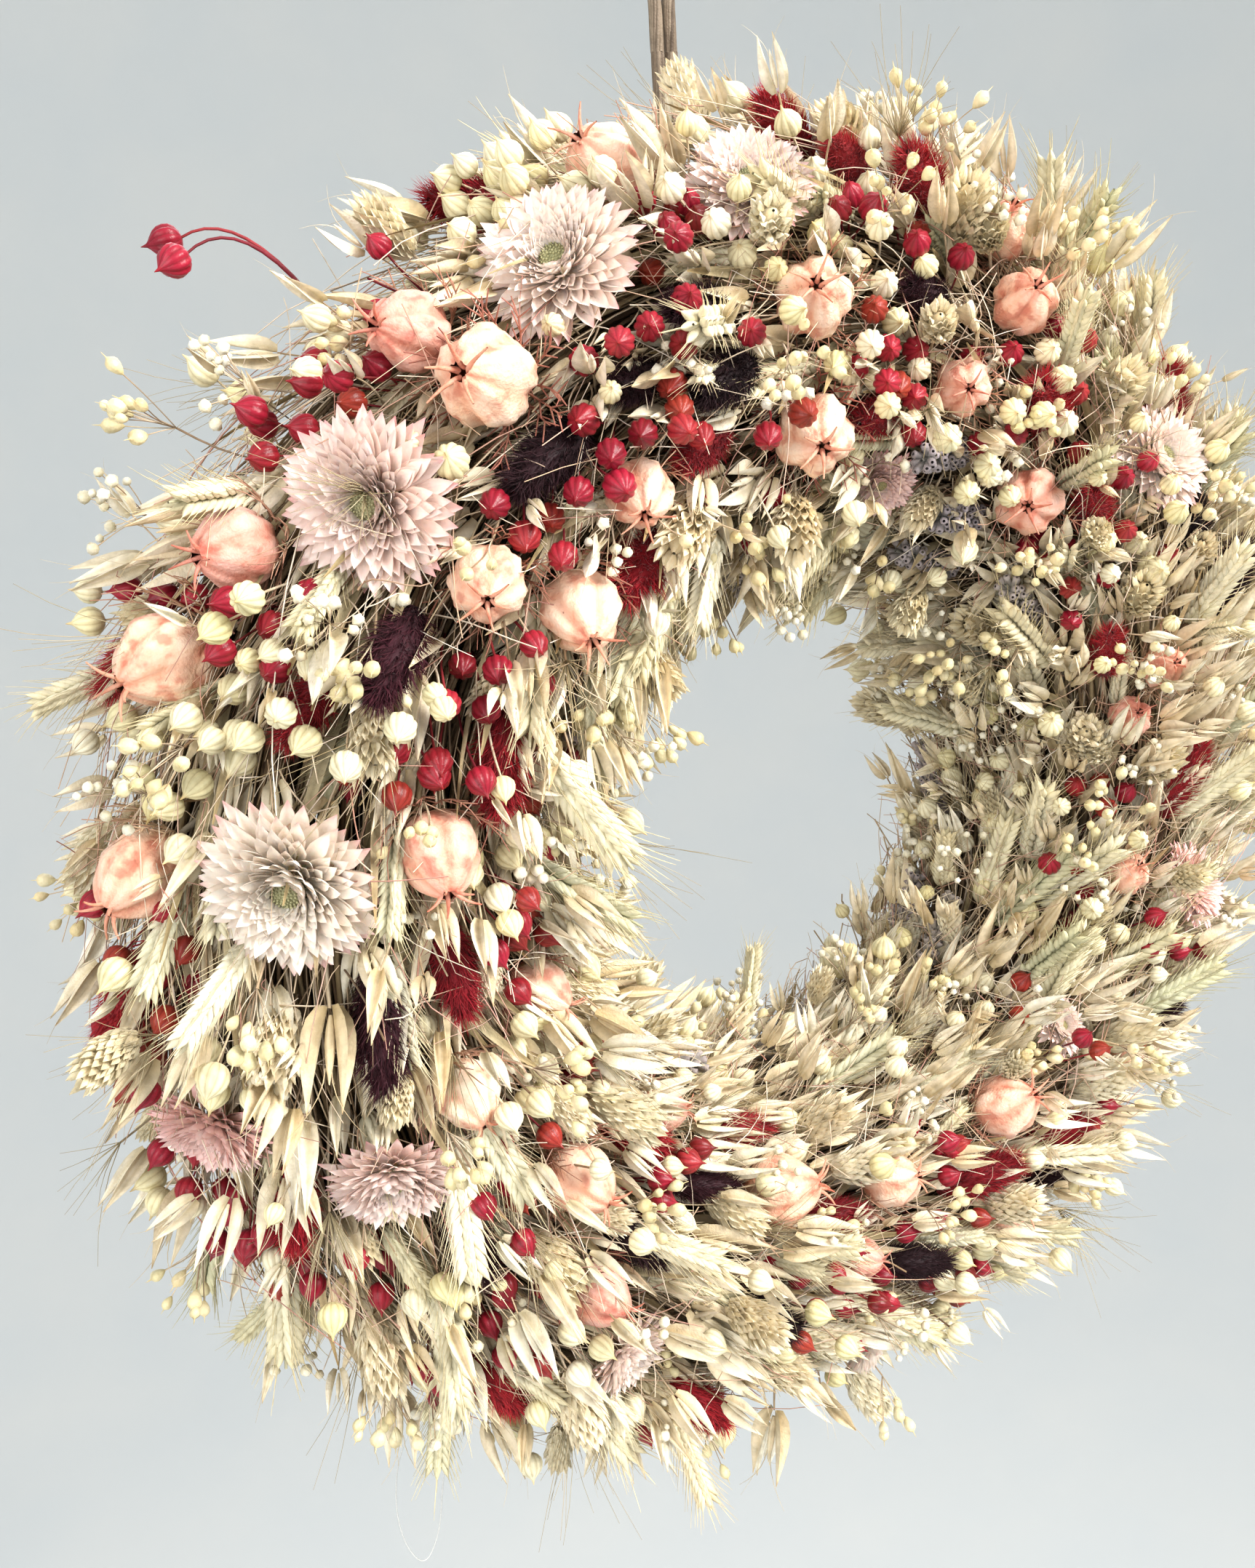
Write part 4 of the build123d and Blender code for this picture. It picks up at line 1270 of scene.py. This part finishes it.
for name, node, material, slot, seed in (
    ("red_hare_tails", "red_bunny_tails", red_tail_material, "red_tail", 16),
    ("dark_hare_tails", "dark_bunny_tails", dark_tail_material, "dark_tail", 17),
):
    plant(name, node, "long", tail_shape, material, slot, seed, 0.0006, "tall")
plant("red_flax_bolls", "red_flax_pods", "round", flax_shape, red_flax_material, "red_pod", 18, 0.0003,
      "radius", share=0.84, extra=[beside("red_flax_pods", 80, 90, 0.0033)])
plant("cream_flax_bolls", "cream_flax_pods", "round", flax_shape, cream_flax_material, "cream_pod", 19,
      0.0003, "radius", share=0.86,
      extra=[beside("cream_flax_pods", 81, 90, 0.0033),
             scattered(50, 270, (-25, 205), 35, 1.03, 0.019, 0.0032, 0.00028)])
plant("wheat_ear_grains", "wheat_ears", "long", wheat_shape, wheat_material, "wheat", 20, 0.0007, "tall",
      0.044, 0.85,
      extra=[scattered(51, 52, (-30, 130), 55, 1.0, 0.011, 0.031, 0.0005),
             scattered(57, 40, (130, 210), 60, 1.04, 0.010, 0.034, 0.0005),
             scattered(67, 70, (25, 130), 66, 0.98, 0.008, 0.029, 0.0005)])
plant("canary_grass_scales", "canary_grass_heads", "long", canary_shape, canary_material, "canary_grass", 21,
      0.0006, "tall", 0.024, 0.86, extra=[scattered(52, 84, (-20, 208), 45, 1.03, 0.014, 0.0165, 0.0004)])
plant("oat_spikelet_husks", "oat_spikelets", "long", oat_shape, oat_material, "oat_husk", 22, 0.0004, "tall",
      0.024,
      extra=[scattered(53, 560, (-35, 140), 50, 1.0, 0.019, 0.0162, 0.00025),
             scattered(58, 330, (125, 222), 50, 1.06, 0.018, 0.0155, 0.00025),
             scattered(59, 420, (-30, 205), 44, 1.06, 0.017, 0.0105, 0.0002, 0.9, 0.35),
             scattered(66, 260, (20, 150), 62, 0.98, 0.009, 0.0165, 0.00025)])
plant("lavender_calyces", "lavender_spikes", "long", lavender_shape, lavender_material, "lavender", 23,
      0.0006, "tall", 0.034)


# ---------------------------------------------------------------- small sprays between the heads
def spray_heads(seed, sprays, each, across, lean, share, reach, fan, size, thick, drawn, material, name,
                slot):
    """Branching sprays: each main stem carries several small heads on fine stalks."""
    rng = np.random.default_rng(seed)
    base, way, _ = scattered(seed + 1, sprays, across, lean, share, reach, 1.0, thick)
    foot = np.repeat(base, each, 0)
    main = np.repeat(way, each, 0)
    m = len(foot)
    stalk_way = unit(main + fan * random_way(rng, m))
    long = rng.uniform(0.4, 1.0, m) * reach * 0.8
    tips = foot + stalk_way * long[:, None]
    free = uncovered(tips)
    foot, tips, stalk_way = foot[free], tips[free], stalk_way[free]
    m = len(tips)
    stems_to(rng, foot, tips, thick * 0.5)
    heap = Heap()
    variants = [drawn(rng) for _ in range(3)]
    kinds = rng.integers(0, 3, m)
    tints = tints_for(rng, m)
    for k, shape in enumerate(variants):
        pick = kinds == k
        heap.stand(shape, tips[pick], stalk_way[pick], size * rng.uniform(0.7, 1.25, pick.sum()), tints[pick],
                   rng.uniform(0, TAU, pick.sum()))
    heap.piece(name, material, slot=slot)


spray_heads(60, 84, 11, (-8, 205), 42, 1.0, 0.017, 0.75, 0.0012, 0.00028, ball_shape, ball_material,
            "gypsophila_flowers", "petal")
spray_heads(62, 96, 10, (-8, 205), 45, 0.98, 0.019, 0.6, 0.0046, 0.0003, teardrop_shape, teardrop_material,
            "teardrop_pods", "cream_pod")

hair_heap = Heap()
rng = np.random.default_rng(64)
base, way, _ = scattered(65, 60, (-30, 200), 40, 1.0, 0.018, 1.0, 0.0003)
each = 26
foot = np.repeat(base, each, 0)
hair_way = unit(np.repeat(way, each, 0) + 0.55 * random_way(rng, len(foot)))
hair_heap.strands(
    arc_points(foot, hair_way, 0.25 * random_way(rng, len(foot)), rng.uniform(0.014, 0.034, len(foot)), 5),
    np.linspace(0.00014, 0.00005, 5), tints_for(rng, len(foot)), 3)
hair_heap.piece("hair_grass", blade_material, slot="dry_stems")

head_stems.piece("head_stems", stem_material, slot="dry_stems")
red_stems.piece("red_pod_stems", red_stem_material, slot="red_pod")

# ---------------------------------------------------------------- the two sprays that swing
rng = np.random.default_rng(70)
husk_heap = Heap(swings=True)
for k in range(3):
    way = unit(OAT_TIPS[k] - OAT_PIVOT)[None]
    husk_heap.stand(oat_shape(rng), OAT_TIPS[k][None], way, np.array([0.024]), tints_for(rng, 1),
                    rng.uniform(0, TAU, 1))
husk_heap.piece("hanging_oat_husks", oat_material, body="oat_spray", slot="oat_husk", nodes=["oat_spray"])
stalk_heap = Heap(swings=True)
foot = np.repeat(OAT_PIVOT[None], 3, 0) + np.array([0, 0, 0.001])
reach = np.linalg.norm(OAT_TIPS - foot, axis=1)
bow = np.array([[-0.12, -0.1, 0.1], [0.16, 0.0, 0.06], [-0.08, 0.1, 0.1]])
t = np.linspace(0, 1, 8)[None, :, None]
points = foot[:, None] + (OAT_TIPS - foot)[:, None] * t
points = points + (bow * reach[:, None])[:, None] * np.sin(math.pi * t)
stalk_heap.strands(points, np.linspace(0.0005, 0.0003, 8), tints_for(rng, 3), 5)
stalk_heap.piece("hanging_oat_stalks", stem_material, body="oat_spray", slot="dry_stems")

pod_heap = Heap(swings=True)
pod_heap.stand(flax_shape(rng), POD_TIPS - 0.0005 * unit(POD_TIPS - POD_ELBOW), unit(POD_TIPS - POD_ELBOW),
               np.array([0.0036, 0.0036]), np.array([3, 20]), np.array([0.4, 1.9]))
pod_heap.piece("nodding_flax_bolls", red_flax_material, body="pod_pair", slot="red_pod", nodes=["pod_pair"])
arch_heap = Heap(swings=True)
t = np.linspace(0, 1, 12)[None, :, None]
bend = POD_ELBOW + np.array([0.002, 0, 0.006])
points = (1 - t) ** 2 * POD_PIVOT + 2 * t * (1 - t) * bend + t**2 * POD_TIPS[:, None]
arch_heap.strands(points, np.linspace(0.0005, 0.0003, 12), tints_for(rng, 2), 5)
arch_heap.piece("nodding_boll_stalks", red_stem_material, body="pod_pair", slot="dry_stems")


# ---------------------------------------------------------------- floor and backdrop
def stage_bowl():
    """A pale floor that curves up all round into a far backdrop."""
    floor_z, reach, bend, high = -2.3, 4.6, 2.3, 4.0
    profile = [(0.02, floor_z), (reach - bend, floor_z)]
    for k in range(1, 12):
        a = math.radians(90 / 11 * k)
        profile.append((reach - bend + bend * math.sin(a), floor_z + bend * (1 - math.cos(a))))
    profile.append((reach, high))
    sides = 96
    angle = np.linspace(0, TAU, sides, endpoint=False)
    r, z = np.array(profile).T
    co = np.stack([
        r[:, None] * np.cos(angle), r[:, None] * np.sin(angle), np.repeat(z[:, None], sides, 1),
    ], -1)
    mesh = bpy.data.meshes.new("backdrop")
    mesh.from_pydata(co.reshape(-1, 3).tolist(), [], grid_faces(len(profile), sides, True).tolist())
    for polygon in mesh.polygons:
        polygon.use_smooth = True
    made = bpy.data.objects.new("backdrop", mesh)
    bpy.context.scene.collection.objects.link(made)
    mesh.materials.append(
        overall("pale_paper", (220, 224, 225), (225, 227, 226), 3.0, low=0.85, high=0.95, depth=0.02))


stage_bowl()
